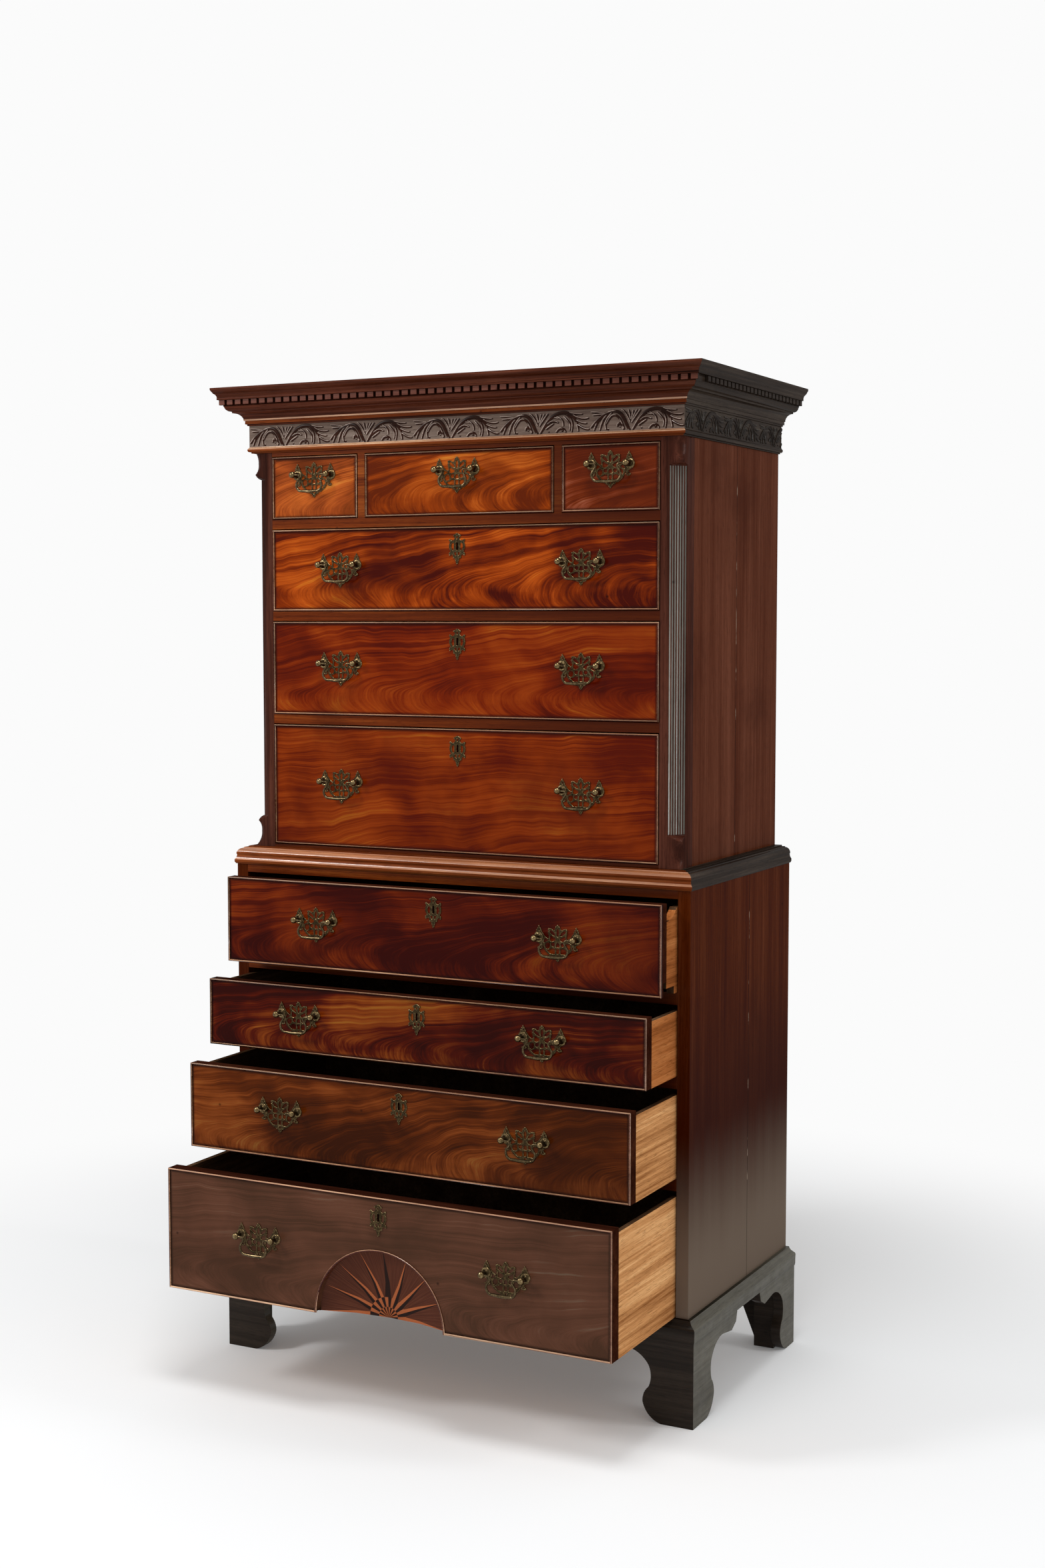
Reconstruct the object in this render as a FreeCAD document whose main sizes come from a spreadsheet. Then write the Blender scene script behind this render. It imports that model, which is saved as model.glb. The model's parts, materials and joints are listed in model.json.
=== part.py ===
import FreeCAD, Part
import math
import os
import re

import Sketcher

# A chest on chest: an upper chest of drawers standing on a wider lower one.
# X runs across the front, Y from front to back, Z up from the floor.
# Lengths are millimetres. Every driving size is one named cell of the sheet.

SIZES = {
    # lower carcase
    "lower_width": 969.0,
    "lower_depth": 510.0,
    "base_height": 36.7,
    "lower_side": 24.4,
    "lower_rail": 22.3,
    # upper carcase
    "side_step": 31.0,
    "upper_setback": 25.0,
    "upper_side": 18.0,
    "upper_rail": 18.3,
    "post_front": 42.0,
    "post_side": 55.0,
    "short_divider": 15.6,
    "short_middle_width": 399.6,
    # boards that both carcases share
    "rail_depth": 70.0,
    "dust_board": 10.0,
    "back_board": 10.0,
    "case_board": 16.0,
    "stop_block": 5.0,
    # mouldings and feet
    "full_height": 1900.0,
    "cornice_reach": 60.5,
    "cornice_height": 71.0,
    "frieze_height": 52.0,
    "top_rail_show": 9.0,
    "frieze_reach": 6.0,
    "dentil_bed": 42.0,
    "dentil_reach": 48.0,
    "dentil_height": 9.8,
    "dentil_width": 13.2,
    "dentil_pitch": 18.4,
    "waist_height": 34.3,
    "waist_rail_show": 15.8,
    "base_foot": 158.3,
    "base_reach": 21.0,
    "waist_reach": 4.2,
    "bracket_reach": 18.6,
    "bracket_thick": 20.0,
    "bracket_length": 216.0,
    "rear_bracket_length": 196.0,
    "bracket_waist": 84.0,
    "glue_block": 42.0,
    # canted corner posts
    "cant_depth": 18.4,
    "tongue_length": 56.0,
    "flute_width": 3.2,
    "flute_pitch": 4.9,
    "flute_depth": 1.7,
    "flute_count": 7,
    # drawers, from the bottom of the chest to the top
    "sunburst_height": 229.0,
    "lower_third_height": 161.0,
    "lower_second_height": 127.0,
    "secretaire_height": 165.0,
    "sunburst_open": 272.4,
    "lower_third_open": 198.2,
    "lower_second_open": 132.7,
    "secretaire_open": 69.4,
    "gap_over": 2.0,
    "gap_under": 1.0,
    "gap_side": 1.2,
    "runner_gap": 0.3,
    "front_thick": 22.0,
    "sunburst_thick": 26.0,
    "niche_block": 20.0,
    "niche_block_width": 300.0,
    "niche_block_height": 150.0,
    "bead_width": 3.2,
    "bead_proud": 2.8,
    "bead_depth": 12.0,
    "lining": 10.0,
    "lining_drop": 9.0,
    "drawer_end_gap": 5.0,
    "bottom_rise": 8.0,
    "bottom_thick": 7.0,
    "niche_radius": 131.8,
    "niche_wall": 14.0,
    "niche_dish": 21.0,
    # secretaire drawer
    "fall_face": 8.0,
    "fall_lip": 25.0,
    "fall_gap": 0.5,
    "writing_board": 12.0,
    "secretaire_side": 14.0,
    "shoulder_drop": 33.0,
    "shoulder_length": 46.0,
    "secretaire_drop": 12.0,
    "hinge_spread": 600.0,
    "hinge_length": 60.0,
    "hinge_leaf": 22.0,
    "leaf_thick": 1.6,
    "knuckle_radius": 2.6,
    "pin_radius": 1.3,
    "pin_clearance": 0.08,
    "stay_radius": 112.0,
    "stay_band": 12.0,
    "stay_thick": 2.5,
    # brasses
    "handle_spread": 513.0,
    "post_spread": 76.6,
    "post_reach": 25.0,
    "post_head": 6.2,
    "post_head_length": 11.0,
    "shank": 4.6,
    "shank_clearance": 0.1,
    "shank_end": 4.0,
    "pivot_reach": 19.5,
    "plate_thick": 1.6,
    "bail_thick": 4.4,
    "bail_end": 3.2,
    "bail_seat": 2.5,
    "bail_clearance": 0.65,
    "handle_rise": 10.0,
    "short_handle_rise": 24.0,
    "keyhole_drop": 36.5,
    "lock_width": 64.0,
    "lock_height": 46.0,
    "lock_thick": 9.0,
}

# Sizes that follow from those above. The upper drawers share what is left of the height.

DERIVED = {
    "upper_width": "(lower_width - 2 * side_step)",
    "drawer_depth": "(lower_depth - upper_setback - back_board - drawer_end_gap)",
    "lower_floor": "(base_foot + base_height)",
    "lower_heights": "(sunburst_height + lower_third_height + lower_second_height + secretaire_height)",
    "lower_stack": "(lower_floor + lower_heights + 3 * lower_rail + 4 * (gap_under + gap_over))",
    "waist_foot": "(lower_stack + waist_rail_show)",
    "waist_joint": "(waist_foot + waist_height / 2)",
    "waist_crown": "(waist_foot + waist_height)",
    "upper_floor": "(waist_crown + 6)",
    "upper_top": "(full_height - 12)",
    "cornice_foot": "(full_height - cornice_height)",
    "neck_foot": "(cornice_foot - frieze_height)",
    "upper_stack": "(neck_foot - top_rail_show - upper_floor - 3 * upper_rail"
                   " - 4 * (gap_under + gap_over))",
    "upper_third_height": "(upper_stack * 0.34)",
    "upper_second_height": "(upper_stack * 0.26)",
    "upper_first_height": "(upper_stack * 0.227)",
    "short_height": "(upper_stack * 0.173)",
    "cant_foot": "(waist_crown + 3 + tongue_length)",
    "cant_crown": "(neck_foot + 5 - tongue_length)",
}

doc = FreeCAD.newDocument("ChestOnChest")
sheet = doc.addObject("Spreadsheet::Sheet", "Sizes")
for row, (alias, size) in enumerate(SIZES.items(), start=1):
    sheet.set("A%d" % row, alias)
    sheet.set("B%d" % row, str(size))
    sheet.setAlias("B%d" % row, alias)
doc.recompute()

ALIAS = re.compile(r"\b(%s)\b" % "|".join(SIZES))
FOLLOWS = re.compile(r"\b(%s)\b" % "|".join(DERIVED))
ROOT_HALF = 0.7071067811865476


def formula(text):
    """An expression on the sheet, from one written with the bare names of sizes."""
    text = str(text)
    while FOLLOWS.search(text):
        text = FOLLOWS.sub(lambda found: DERIVED[found.group(1)], text)
    return ALIAS.sub(r"Sizes.\1", text)


def value(text):
    """The present number of such an expression."""
    return float(sheet.evalExpression(formula(text)))


def bind(thing, **properties):
    """Tie the named properties of an object to expressions on the sheet."""
    for key, text in properties.items():
        thing.setExpression(key, formula(text))


def move(thing, at, turn=0):
    """Place an object at three formulas, turned about Z by some quarter turns or degrees."""
    thing.Placement.Rotation = FreeCAD.Rotation(FreeCAD.Vector(0, 0, 1), turn)
    for axis, text in zip("xyz", at):
        thing.setExpression(".Placement.Base." + axis, formula(text))
    return thing


# ---------------------------------------------------------------- building tools


def board(name, size, at):
    """A squared board: length along X, width along Y, height along Z, from its lowest corner."""
    box = doc.addObject("Part::Box", name)
    bind(box, Length=size[0], Width=size[1], Height=size[2])
    return move(box, at)


def group(name, pieces, at=("0", "0", "0"), turn=0):
    """Several pieces held together, placed as one."""
    held = doc.addObject("Part::Compound", name)
    held.Links = pieces
    return move(held, at, turn)


def new_body(name):
    return doc.addObject("PartDesign::Body", name)


def side_arc(start, end, radius):
    """The shorter arc from start to end; a positive radius turns left, a negative one right."""
    chord = end - start
    half = chord.Length / 2
    rise = max(radius * radius - half * half, 0.0) ** 0.5
    left = FreeCAD.Vector(-chord.y, chord.x, 0).normalize()
    turn = 1 if radius > 0 else -1
    centre = start + chord * 0.5 + left * rise * turn
    middle = centre - left * abs(radius) * turn
    return Part.Arc(start, middle, end)


def outline(sketch, corners, arcs=None):
    """A closed outline through corners given as pairs of formulas.

    arcs says which sides are round: {side: radius formula}, where side n leaves corner n
    and a radius with a minus sign turns right. Every corner and radius follows the sheet.
    """
    arcs = arcs or {}
    count = len(corners)
    points = [FreeCAD.Vector(value(x), value(y), 0) for x, y in corners]
    first = sketch.GeometryCount
    starts = []
    ends = []
    for side in range(count):
        begin = points[side]
        finish = points[(side + 1) % count]
        if side in arcs:
            radius = value(arcs[side])
            sketch.addGeometry(side_arc(begin, finish, radius), False)
            leftward = radius > 0
            starts.append(1 if leftward else 2)
            ends.append(2 if leftward else 1)
        else:
            sketch.addGeometry(Part.LineSegment(begin, finish), False)
            starts.append(1)
            ends.append(2)
    for side in range(count):
        previous = (side - 1) % count
        joint = Sketcher.Constraint("Coincident", first + previous, ends[previous], first + side,
                                    starts[side])
        sketch.addConstraint(joint)
    for side, (x, y) in enumerate(corners):
        for kind, text in (("DistanceX", x), ("DistanceY", y)):
            where = Sketcher.Constraint(kind, -1, 1, first + side, starts[side], value(text))
            index = sketch.addConstraint(where)
            sketch.setExpression("Constraints[%d]" % index, formula(text))
    for side, text in arcs.items():
        bend = Sketcher.Constraint("Radius", first + side, abs(value(text)))
        index = sketch.addConstraint(bend)
        sketch.setExpression("Constraints[%d]" % index, formula("abs(%s)" % text))
    return sketch


def oblong(left, bottom, right, top):
    """The corners of an upright rectangle, anticlockwise."""
    return [(left, bottom), (right, bottom), (right, top), (left, top)]


def circle(sketch, x, y, radius):
    centre = FreeCAD.Vector(value(x), value(y), 0)
    normal = FreeCAD.Vector(0, 0, 1)
    rim = sketch.addGeometry(Part.Circle(centre, normal, value(radius)), False)
    for kind, text in (("DistanceX", x), ("DistanceY", y)):
        index = sketch.addConstraint(Sketcher.Constraint(kind, -1, 1, rim, 3, value(text)))
        sketch.setExpression("Constraints[%d]" % index, formula(text))
    index = sketch.addConstraint(Sketcher.Constraint("Radius", rim, value(radius)))
    sketch.setExpression("Constraints[%d]" % index, formula(radius))


def sketch_on(body, role, name, offset="0"):
    """A sketch on one of the body's own planes, moved along that plane's normal.

    On XZ_Plane the sketch faces -Y, on YZ_Plane it faces +X and on XY_Plane it faces +Z.
    """
    sketch = body.newObject("Sketcher::SketchObject", name)
    plane = [item for item in body.Origin.OriginFeatures if item.Role == role][0]
    sketch.AttachmentSupport = [(plane, "")]
    sketch.MapMode = "FlatFace"
    sketch.setExpression(".AttachmentOffset.Base.z", formula(offset))
    return sketch


def pad(body, sketch, length, reverse=False, symmetric=False):
    """Raise a sketch along its normal, or against it."""
    feature = body.newObject("PartDesign::Pad", sketch.Name + "Pad")
    feature.Profile = sketch
    feature.Reversed = reverse
    feature.SideType = "Symmetric" if symmetric else "One side"
    bind(feature, Length=length)
    sketch.Visibility = False
    return feature


def pocket(body, sketch, length=None, reverse=False, symmetric=False):
    """Cut a sketch into the body; with no length it goes right through."""
    feature = body.newObject("PartDesign::Pocket", sketch.Name + "Pocket")
    feature.Profile = sketch
    feature.Reversed = reverse
    feature.SideType = "Symmetric" if symmetric else "One side"
    if length is None:
        feature.Type = "ThroughAll"
    else:
        bind(feature, Length=length)
    sketch.Visibility = False
    return feature


NODES = []
FOOTPRINT_MIDDLE = "((lower_depth - sunburst_open - post_reach) / 2)"


def node(label, pieces, x="0", y="0", z="0"):
    """A named sub-part in the chest's own frame, whose origin is the middle of its footprint."""
    held = group(label, pieces, (x, "(%s) - %s" % (y, FOOTPRINT_MIDDLE), z))
    held.Label = label
    NODES.append(held)
    return held


# ---------------------------------------------------------------- levels


def stack(floor, heights, rail):
    """Where each drawer of a chest stands, from the lowest up, and where each rail is."""
    levels = []
    rails = []
    level = floor
    for height in heights:
        foot = "(%s + gap_under)" % level
        levels.append(foot)
        rail_foot = "(%s + %s + gap_over)" % (foot, height)
        rails.append(rail_foot)
        level = "(%s + %s)" % (rail_foot, rail)
    return levels, rails


LOWER_HEIGHTS = ["sunburst_height", "lower_third_height", "lower_second_height", "secretaire_height"]
UPPER_HEIGHTS = ["upper_third_height", "upper_second_height", "upper_first_height", "short_height"]
LOWER_LEVELS, LOWER_RAILS = stack("lower_floor", LOWER_HEIGHTS, "lower_rail")
UPPER_LEVELS, UPPER_RAILS = stack("upper_floor", UPPER_HEIGHTS, "upper_rail")

LOWER_INSIDE = "(lower_width - 2 * lower_side)"
UPPER_INSIDE = "(upper_width - 2 * post_front)"
SHORT_MIDDLE = "(short_middle_width + 2 * gap_side)"
SHORT_OUTER = "((%s - %s - 2 * short_divider) / 2)" % (UPPER_INSIDE, SHORT_MIDDLE)
SHORT_CENTRE = "((%s - %s) / 2)" % (UPPER_INSIDE, SHORT_OUTER)


# ---------------------------------------------------------------- carcases


def lower_sides():
    """Two upright sides, rebated behind for the back boards."""
    sides = []
    for name, hand in (("LowerSideLeft", "-1"), ("LowerSideRight", "1")):
        body = new_body(name)
        plan = sketch_on(body, "XY_Plane", name + "Plan", "base_foot")
        outer = "%s * lower_width / 2" % hand
        inner = "%s * (lower_width / 2 - lower_side)" % hand
        rebate = "%s * (lower_width / 2 - lower_side / 2)" % hand
        behind = "lower_depth - back_board"
        corners = [(outer, "0"), (outer, "lower_depth"), (rebate, "lower_depth")]
        corners += [(rebate, behind), (inner, behind), (inner, "0")]
        outline(plan, corners)
        pad(body, plan, "waist_joint - base_foot")
        sides.append(body)
    return sides


def shelf(name, inside, front, foot, thick, depth_end):
    """A level board between the sides of a carcase."""
    size = (inside, "%s - (%s)" % (depth_end, front), thick)
    return board(name, size, ("-%s / 2" % inside, front, foot))


def lower_boards():
    """The floor, the top and the dust boards behind the rails."""
    end = "(lower_depth - back_board)"
    boards = [shelf("LowerFloorBoard", LOWER_INSIDE, "rail_depth", "lower_floor - case_board",
                    "case_board", end)]
    for number, rail in enumerate(LOWER_RAILS[:3], start=1):
        foot = "%s + lower_rail - dust_board" % rail
        boards.append(shelf("LowerDust%d" % number, LOWER_INSIDE, "rail_depth", foot, "dust_board", end))
    boards.append(shelf("LowerTopBoard", LOWER_INSIDE, "rail_depth", "waist_joint - case_board",
                        "case_board", end))
    return boards


def drawer_stops(name, floors, x, thick):
    """Small blocks that the back of a drawer's front meets when the drawer is home."""
    stops = []
    for number, floor in enumerate(floors):
        front = "front_thick" if thick is None else thick[number]
        for side in ("-1", "1"):
            at = ("%s * %s - 15" % (side, x), "%s + runner_gap" % front, floor)
            label = "%s%d%s" % (name, number, "L" if side == "-1" else "R")
            stops.append(board(label, ("30", "25", "stop_block"), at))
    return stops


def lower_rails():
    """The rails between the drawers, with the drawer stops glued on them."""
    left = "-%s / 2" % LOWER_INSIDE
    rails = [board("LowerFootRail", (LOWER_INSIDE, "rail_depth", "lower_floor - base_foot"),
                   (left, "0", "base_foot"))]
    for number, foot in enumerate(LOWER_RAILS[:3], start=1):
        rails.append(board("LowerRail%d" % number, (LOWER_INSIDE, "rail_depth", "lower_rail"),
                           (left, "0", foot)))
    top = LOWER_RAILS[3]
    rails.append(board("LowerTopRail", (LOWER_INSIDE, "rail_depth", "waist_joint - %s" % top),
                       (left, "0", top)))
    floors = ["lower_floor"] + ["%s + lower_rail" % foot for foot in LOWER_RAILS[:2]]
    return rails + drawer_stops("LowerStop", floors, "300",
                                ["sunburst_thick", "front_thick", "front_thick"])


def back_planks(name, width, foot, height):
    """Upright back boards, three planks side by side in the rebates."""
    planks = []
    for number in range(3):
        x = "-(%s) / 2 + %d * (%s) / 3" % (width, number, width)
        size = ("(%s) / 3" % width, "back_board", height)
        planks.append(board("%s%d" % (name, number), size, (x, "lower_depth - back_board", foot)))
    return planks


def upper_sides():
    """The sides of the upper chest, behind the corner posts and rebated for the back."""
    sides = []
    front = "upper_setback + post_side"
    for name, hand in (("UpperSideLeft", "-1"), ("UpperSideRight", "1")):
        body = new_body(name)
        plan = sketch_on(body, "XY_Plane", name + "Plan", "waist_joint")
        outer = "%s * upper_width / 2" % hand
        inner = "%s * (upper_width / 2 - upper_side)" % hand
        rebate = "%s * (upper_width / 2 - upper_side / 2)" % hand
        behind = "lower_depth - back_board"
        corners = [(outer, front), (outer, "lower_depth"), (rebate, "lower_depth")]
        corners += [(rebate, behind), (inner, behind), (inner, front)]
        outline(plan, corners)
        pad(body, plan, "upper_top - waist_joint")
        sides.append(body)
    return sides


def upper_boards():
    """The floor, top and dust boards of the upper chest, with guides beside the drawers."""
    end = "(lower_depth - back_board)"
    front = "upper_setback + rail_depth"
    wide = "(upper_width - 2 * upper_side)"
    boards = [shelf("UpperFloorBoard", wide, front, "upper_floor - case_board", "case_board", end)]
    for number, rail in enumerate(UPPER_RAILS[:3], start=1):
        foot = "%s + upper_rail - dust_board" % rail
        boards.append(shelf("UpperDust%d" % number, wide, front, foot, "dust_board", end))
    boards.append(shelf("UpperTopBoard", wide, front, "upper_top - case_board", "case_board", end))
    guide = "(post_front - upper_side)"
    floors = ["upper_floor"] + ["(%s + upper_rail)" % rail for rail in UPPER_RAILS[:3]]
    for number, floor in enumerate(floors):
        for name, x in (("L", "-%s / 2 - %s" % (UPPER_INSIDE, guide)), ("R", "%s / 2" % UPPER_INSIDE)):
            size = (guide, "lower_depth - back_board - (%s)" % front, "30")
            boards.append(board("UpperGuide%d%s" % (number, name), size, (x, front, floor)))
    height = "%s - (%s + upper_rail)" % (UPPER_RAILS[3], UPPER_RAILS[2])
    for name, hand in (("L", "-1"), ("R", "1")):
        x = "%s * (%s + short_divider) / 2 - short_divider / 2" % (hand, SHORT_MIDDLE)
        size = ("short_divider", "lower_depth - back_board - (%s)" % front, height)
        boards.append(board("ShortPartition" + name, size, (x, front, "%s + upper_rail" % UPPER_RAILS[2])))
    return boards


def upper_rails():
    """Rails and dividers of the upper chest; the top rail is the frieze backing."""
    left = "-%s / 2" % UPPER_INSIDE
    front = "upper_setback"
    foot = "waist_joint"
    rails = [board("UpperFootRail", (UPPER_INSIDE, "rail_depth", "upper_floor - waist_joint"),
                   (left, front, foot))]
    for number, foot in enumerate(UPPER_RAILS[:3], start=1):
        rails.append(board("UpperRail%d" % number, (UPPER_INSIDE, "rail_depth", "upper_rail"),
                           (left, front, foot)))
    top = UPPER_RAILS[3]
    rails.append(board("UpperTopRail", (UPPER_INSIDE, "rail_depth", "upper_top - %s" % top),
                       (left, front, top)))
    foot = "(%s + upper_rail)" % UPPER_RAILS[2]
    for name, hand in (("L", "-1"), ("R", "1")):
        x = "%s * (%s + short_divider) / 2 - short_divider / 2" % (hand, SHORT_MIDDLE)
        size = ("short_divider", "rail_depth", "%s - %s" % (UPPER_RAILS[3], foot))
        rails.append(board("ShortDivider" + name, size, (x, front, foot)))
    floors = ["upper_floor"] + ["%s + upper_rail" % rail for rail in UPPER_RAILS[:2]]
    depth = ["upper_setback + front_thick"] * 3
    return rails + drawer_stops("UpperStop", floors, "300", depth)


def corner_post(name, hand):
    """A canted post: a square post whose outer arris is planed to a flat between two
    lamb's-tongue stops, and the flat is fluted. hand is "1" for the right of the chest."""
    body = new_body(name)
    plan = sketch_on(body, "XY_Plane", name + "Plan", "waist_joint")
    front = "(post_front * %.16f)" % ROOT_HALF
    side = "(post_side * %.16f)" % ROOT_HALF
    corners = [("0", "0"), ("-1 * %s * %s" % (hand, front), front)]
    corners += [("%s * (%s - %s)" % (hand, side, front), "%s + %s" % (front, side)),
                ("%s * %s" % (hand, side), side)]
    outline(plan, corners)
    pad(body, plan, "upper_top - waist_joint")
    # the lamb's tongue: a full cant, a narrow neck, a swelling, and out to the arris
    cant = sketch_on(body, "YZ_Plane", name + "Cant")
    neck = "cant_depth * 0.18"
    swell = "cant_depth * 0.62"
    corners = [("-5", "cant_foot - tongue_length"), ("0", "cant_foot - tongue_length")]
    corners += [(swell, "cant_foot - tongue_length * 0.55"), (neck, "cant_foot - tongue_length * 0.16")]
    corners += [("cant_depth", "cant_foot"), ("cant_depth", "cant_crown")]
    corners += [(neck, "cant_crown + tongue_length * 0.16"), (swell, "cant_crown + tongue_length * 0.55")]
    corners += [("0", "cant_crown + tongue_length"), ("-5", "cant_crown + tongue_length")]
    arcs = {1: "tongue_length * 0.5", 2: "tongue_length * 0.45", 3: "-tongue_length * 0.34"}
    arcs.update({5: "-tongue_length * 0.34", 6: "tongue_length * 0.45", 7: "tongue_length * 0.5"})
    outline(cant, corners, arcs)
    pocket(body, cant, "4 * post_front", symmetric=True)
    # flutes down the flat
    flute = sketch_on(body, "XZ_Plane", name + "Flute", "-cant_depth")
    edge = "-flute_pitch * (flute_count - 1) / 2 - flute_width / 2"
    outline(flute, oblong(edge, "cant_foot + 2", edge + " + flute_width", "cant_crown - 2"))
    groove = pocket(body, flute, "flute_depth")
    row = body.newObject("PartDesign::LinearPattern", name + "Flutes")
    row.Originals = [groove]
    row.Direction = (flute, ["H_Axis"])
    bind(row, Length="flute_pitch * (flute_count - 1)", Occurrences="flute_count")
    body.Tip = row
    at = ("%s * upper_width / 2" % hand, "upper_setback", "0")
    return move(body, at, 45 if hand == "1" else -45)


# ---------------------------------------------------------------- mouldings


def moulding(name, half, front, over, corners, arcs, under="0"):
    """A moulding in three lengths, mitred at the two front corners of a case.

    Its section is given as (reach, height) pairs, reach being measured outwards from the
    face that it runs along. "over" is more than its reach and "under" is how far it goes in."""
    across = new_body(name + "Across")
    section = sketch_on(across, "YZ_Plane", name + "AcrossSection")
    outline(section, [("%s - (%s)" % (front, reach), height) for reach, height in corners], arcs)
    pad(across, section, "2 * (%s + %s)" % (half, over), symmetric=True)
    lengths = [across]
    ends = sketch_on(across, "XY_Plane", name + "AcrossMitres")
    for hand in ("-1", "1"):
        inner = "%s * (%s - %s)" % (hand, half, under)
        outer = "%s * (%s + %s)" % (hand, half, over)
        behind = "%s + %s" % (front, under)
        before = "%s - (%s)" % (front, over)
        outline(ends, [(inner, behind), (outer, behind), (outer, before)])
        side = new_body(name + ("Left" if hand == "-1" else "Right"))
        profile = sketch_on(side, "XZ_Plane", side.Name + "Section", "-lower_depth")
        placed = [("%s * (%s + (%s))" % (hand, half, reach), height) for reach, height in corners]
        turned = arcs if hand == "-1" else {edge: "-(%s)" % bend for edge, bend in arcs.items()}
        outline(profile, placed, turned)
        pad(side, profile, "lower_depth - (%s)" % before)
        mitre = sketch_on(side, "XY_Plane", side.Name + "Mitre")
        outline(mitre, [(inner, behind), (outer, before), (inner, before)])
        pocket(side, mitre, "full_height", reverse=True)
        lengths.append(side)
    pocket(across, ends, "full_height", reverse=True)
    return lengths


def base_moulding():
    """A cove over a plain band, round the foot of the lower chest."""
    corners = [("0", "base_foot"), ("base_reach - 1.5", "base_foot"), ("base_reach - 0.5", "base_foot + 4")]
    corners += [("base_reach", "base_foot + 23"), ("base_reach - 2.5", "lower_floor - 10.5")]
    corners += [("base_reach - 8.5", "lower_floor - 7.5"), ("7", "lower_floor"), ("0", "lower_floor")]
    arcs = {3: "-5", 5: "12"}
    return moulding("BaseMoulding", "lower_width / 2", "0", "base_reach + 2", corners, arcs)


def waist_moulding():
    """The moulding that covers the joint between the two chests."""
    inner = "-upper_setback"
    corners = [("0", "waist_foot"), ("2", "waist_foot"), ("waist_reach", "waist_foot + 3.5"),
               ("waist_reach", "waist_foot + 8")]
    corners += [("1.5", "waist_foot + 12"), ("0.5", "waist_foot + 17"), ("1.5", "waist_foot + 19.5")]
    corners += [("-7", "waist_crown - 4"), ("-8.5", "waist_crown - 4"), ("-10", "waist_crown - 2.2")]
    corners += [("-16", "waist_crown - 2.2"), ("-16", "waist_crown"), (inner, "waist_crown")]
    corners += [(inner, "waist_joint"), ("0", "waist_joint")]
    arcs = {6: "-11"}
    lengths = moulding("WaistMoulding", "lower_width / 2", "0", "waist_reach + 2", corners, arcs,
                       "upper_setback")
    ledge = "((lower_width - upper_width) / 2 - upper_setback)"
    size = (ledge, "lower_depth - upper_setback", "waist_crown - waist_joint")
    left = board("WaistLedgeLeft", size, ("-upper_width / 2 - %s" % ledge, "upper_setback", "waist_joint"))
    right = board("WaistLedgeRight", size, ("upper_width / 2", "upper_setback", "waist_joint"))
    return lengths + [left, right]


def frieze():
    """The frieze board with its neck bead below."""
    corners = [("0", "neck_foot - 1"), ("3.5", "neck_foot - 1"), ("3.5", "neck_foot + 1.5")]
    corners += [("frieze_reach + 1", "neck_foot + 1.5"), ("frieze_reach + 1", "neck_foot + 9")]
    corners += [("frieze_reach", "neck_foot + 11"), ("frieze_reach", "cornice_foot"), ("0", "cornice_foot")]
    return moulding("Frieze", "upper_width / 2", "upper_setback", "frieze_reach + 5", corners, {3: "-4.4"})


DENTIL_FOOT = "(full_height - 32.6)"


def cornice():
    """Bead, cove, ovolo, a bed for the dentils, and a cyma under the top fillet."""
    foot = "cornice_foot"
    dentil = DENTIL_FOOT
    corners = [("0", foot), ("frieze_reach + 3", foot), ("frieze_reach + 3", foot + " + 3")]
    corners += [("12", foot + " + 3"), ("12", foot + " + 9.5"), ("14", foot + " + 9.5"),
                ("14", foot + " + 12")]
    corners += [("28.5", dentil + " - 14.5"), ("30", dentil + " - 14.5"), ("30", dentil + " - 11.5")]
    corners += [("33", dentil + " - 11.5"), ("dentil_bed - 1", dentil + " - 2.5"),
                ("dentil_bed", dentil + " - 2.5")]
    corners += [("dentil_bed", dentil + " + dentil_height"),
                ("dentil_reach + 3", dentil + " + dentil_height")]
    corners += [("dentil_reach + 3", dentil + " + dentil_height + 3"),
                ("cornice_reach - 4.5", "full_height - 11")]
    corners += [("cornice_reach", "full_height - 4"), ("cornice_reach", "full_height"),
                ("0", "full_height")]
    arcs = {6: "15", 10: "-10", 15: "9"}
    return moulding("Cornice", "upper_width / 2", "upper_setback", "cornice_reach + 2", corners, arcs)


def dentil_row(name, length):
    """A row of dentil blocks that starts at x = 0 and looks to -Y from the plane y = 0."""
    body = new_body(name)
    body.AllowCompound = True
    block = sketch_on(body, "XZ_Plane", name + "Block")
    outline(block, oblong("0", "0", "dentil_width", "dentil_height"))
    tooth = pad(body, block, "dentil_reach - dentil_bed")
    row = body.newObject("PartDesign::LinearPattern", name + "Row")
    row.Originals = [tooth]
    row.Direction = (block, ["H_Axis"])
    count = "floor((%s - dentil_width) / dentil_pitch) + 1" % length
    bind(row, Length="%s - dentil_width" % length, Occurrences=count)
    body.Tip = row
    return body


def dentils():
    """Dentil courses for the front and for each return."""
    across = "(upper_width + 2 * dentil_reach)"
    along = "(lower_depth - upper_setback)"
    side = "(upper_width / 2 + dentil_bed)"
    front = dentil_row("DentilsAcross", across)
    back = dentil_row("DentilsAlong", along)
    return [
        group("DentilFront", [front], ("-%s / 2" % across, "upper_setback - dentil_bed", DENTIL_FOOT)),
        group("DentilRight", [back], (side, "upper_setback", DENTIL_FOOT), 90),
        group("DentilLeft", [back], ("-" + side, "lower_depth", DENTIL_FOOT), -90),
    ]


# ---------------------------------------------------------------- feet


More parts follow.
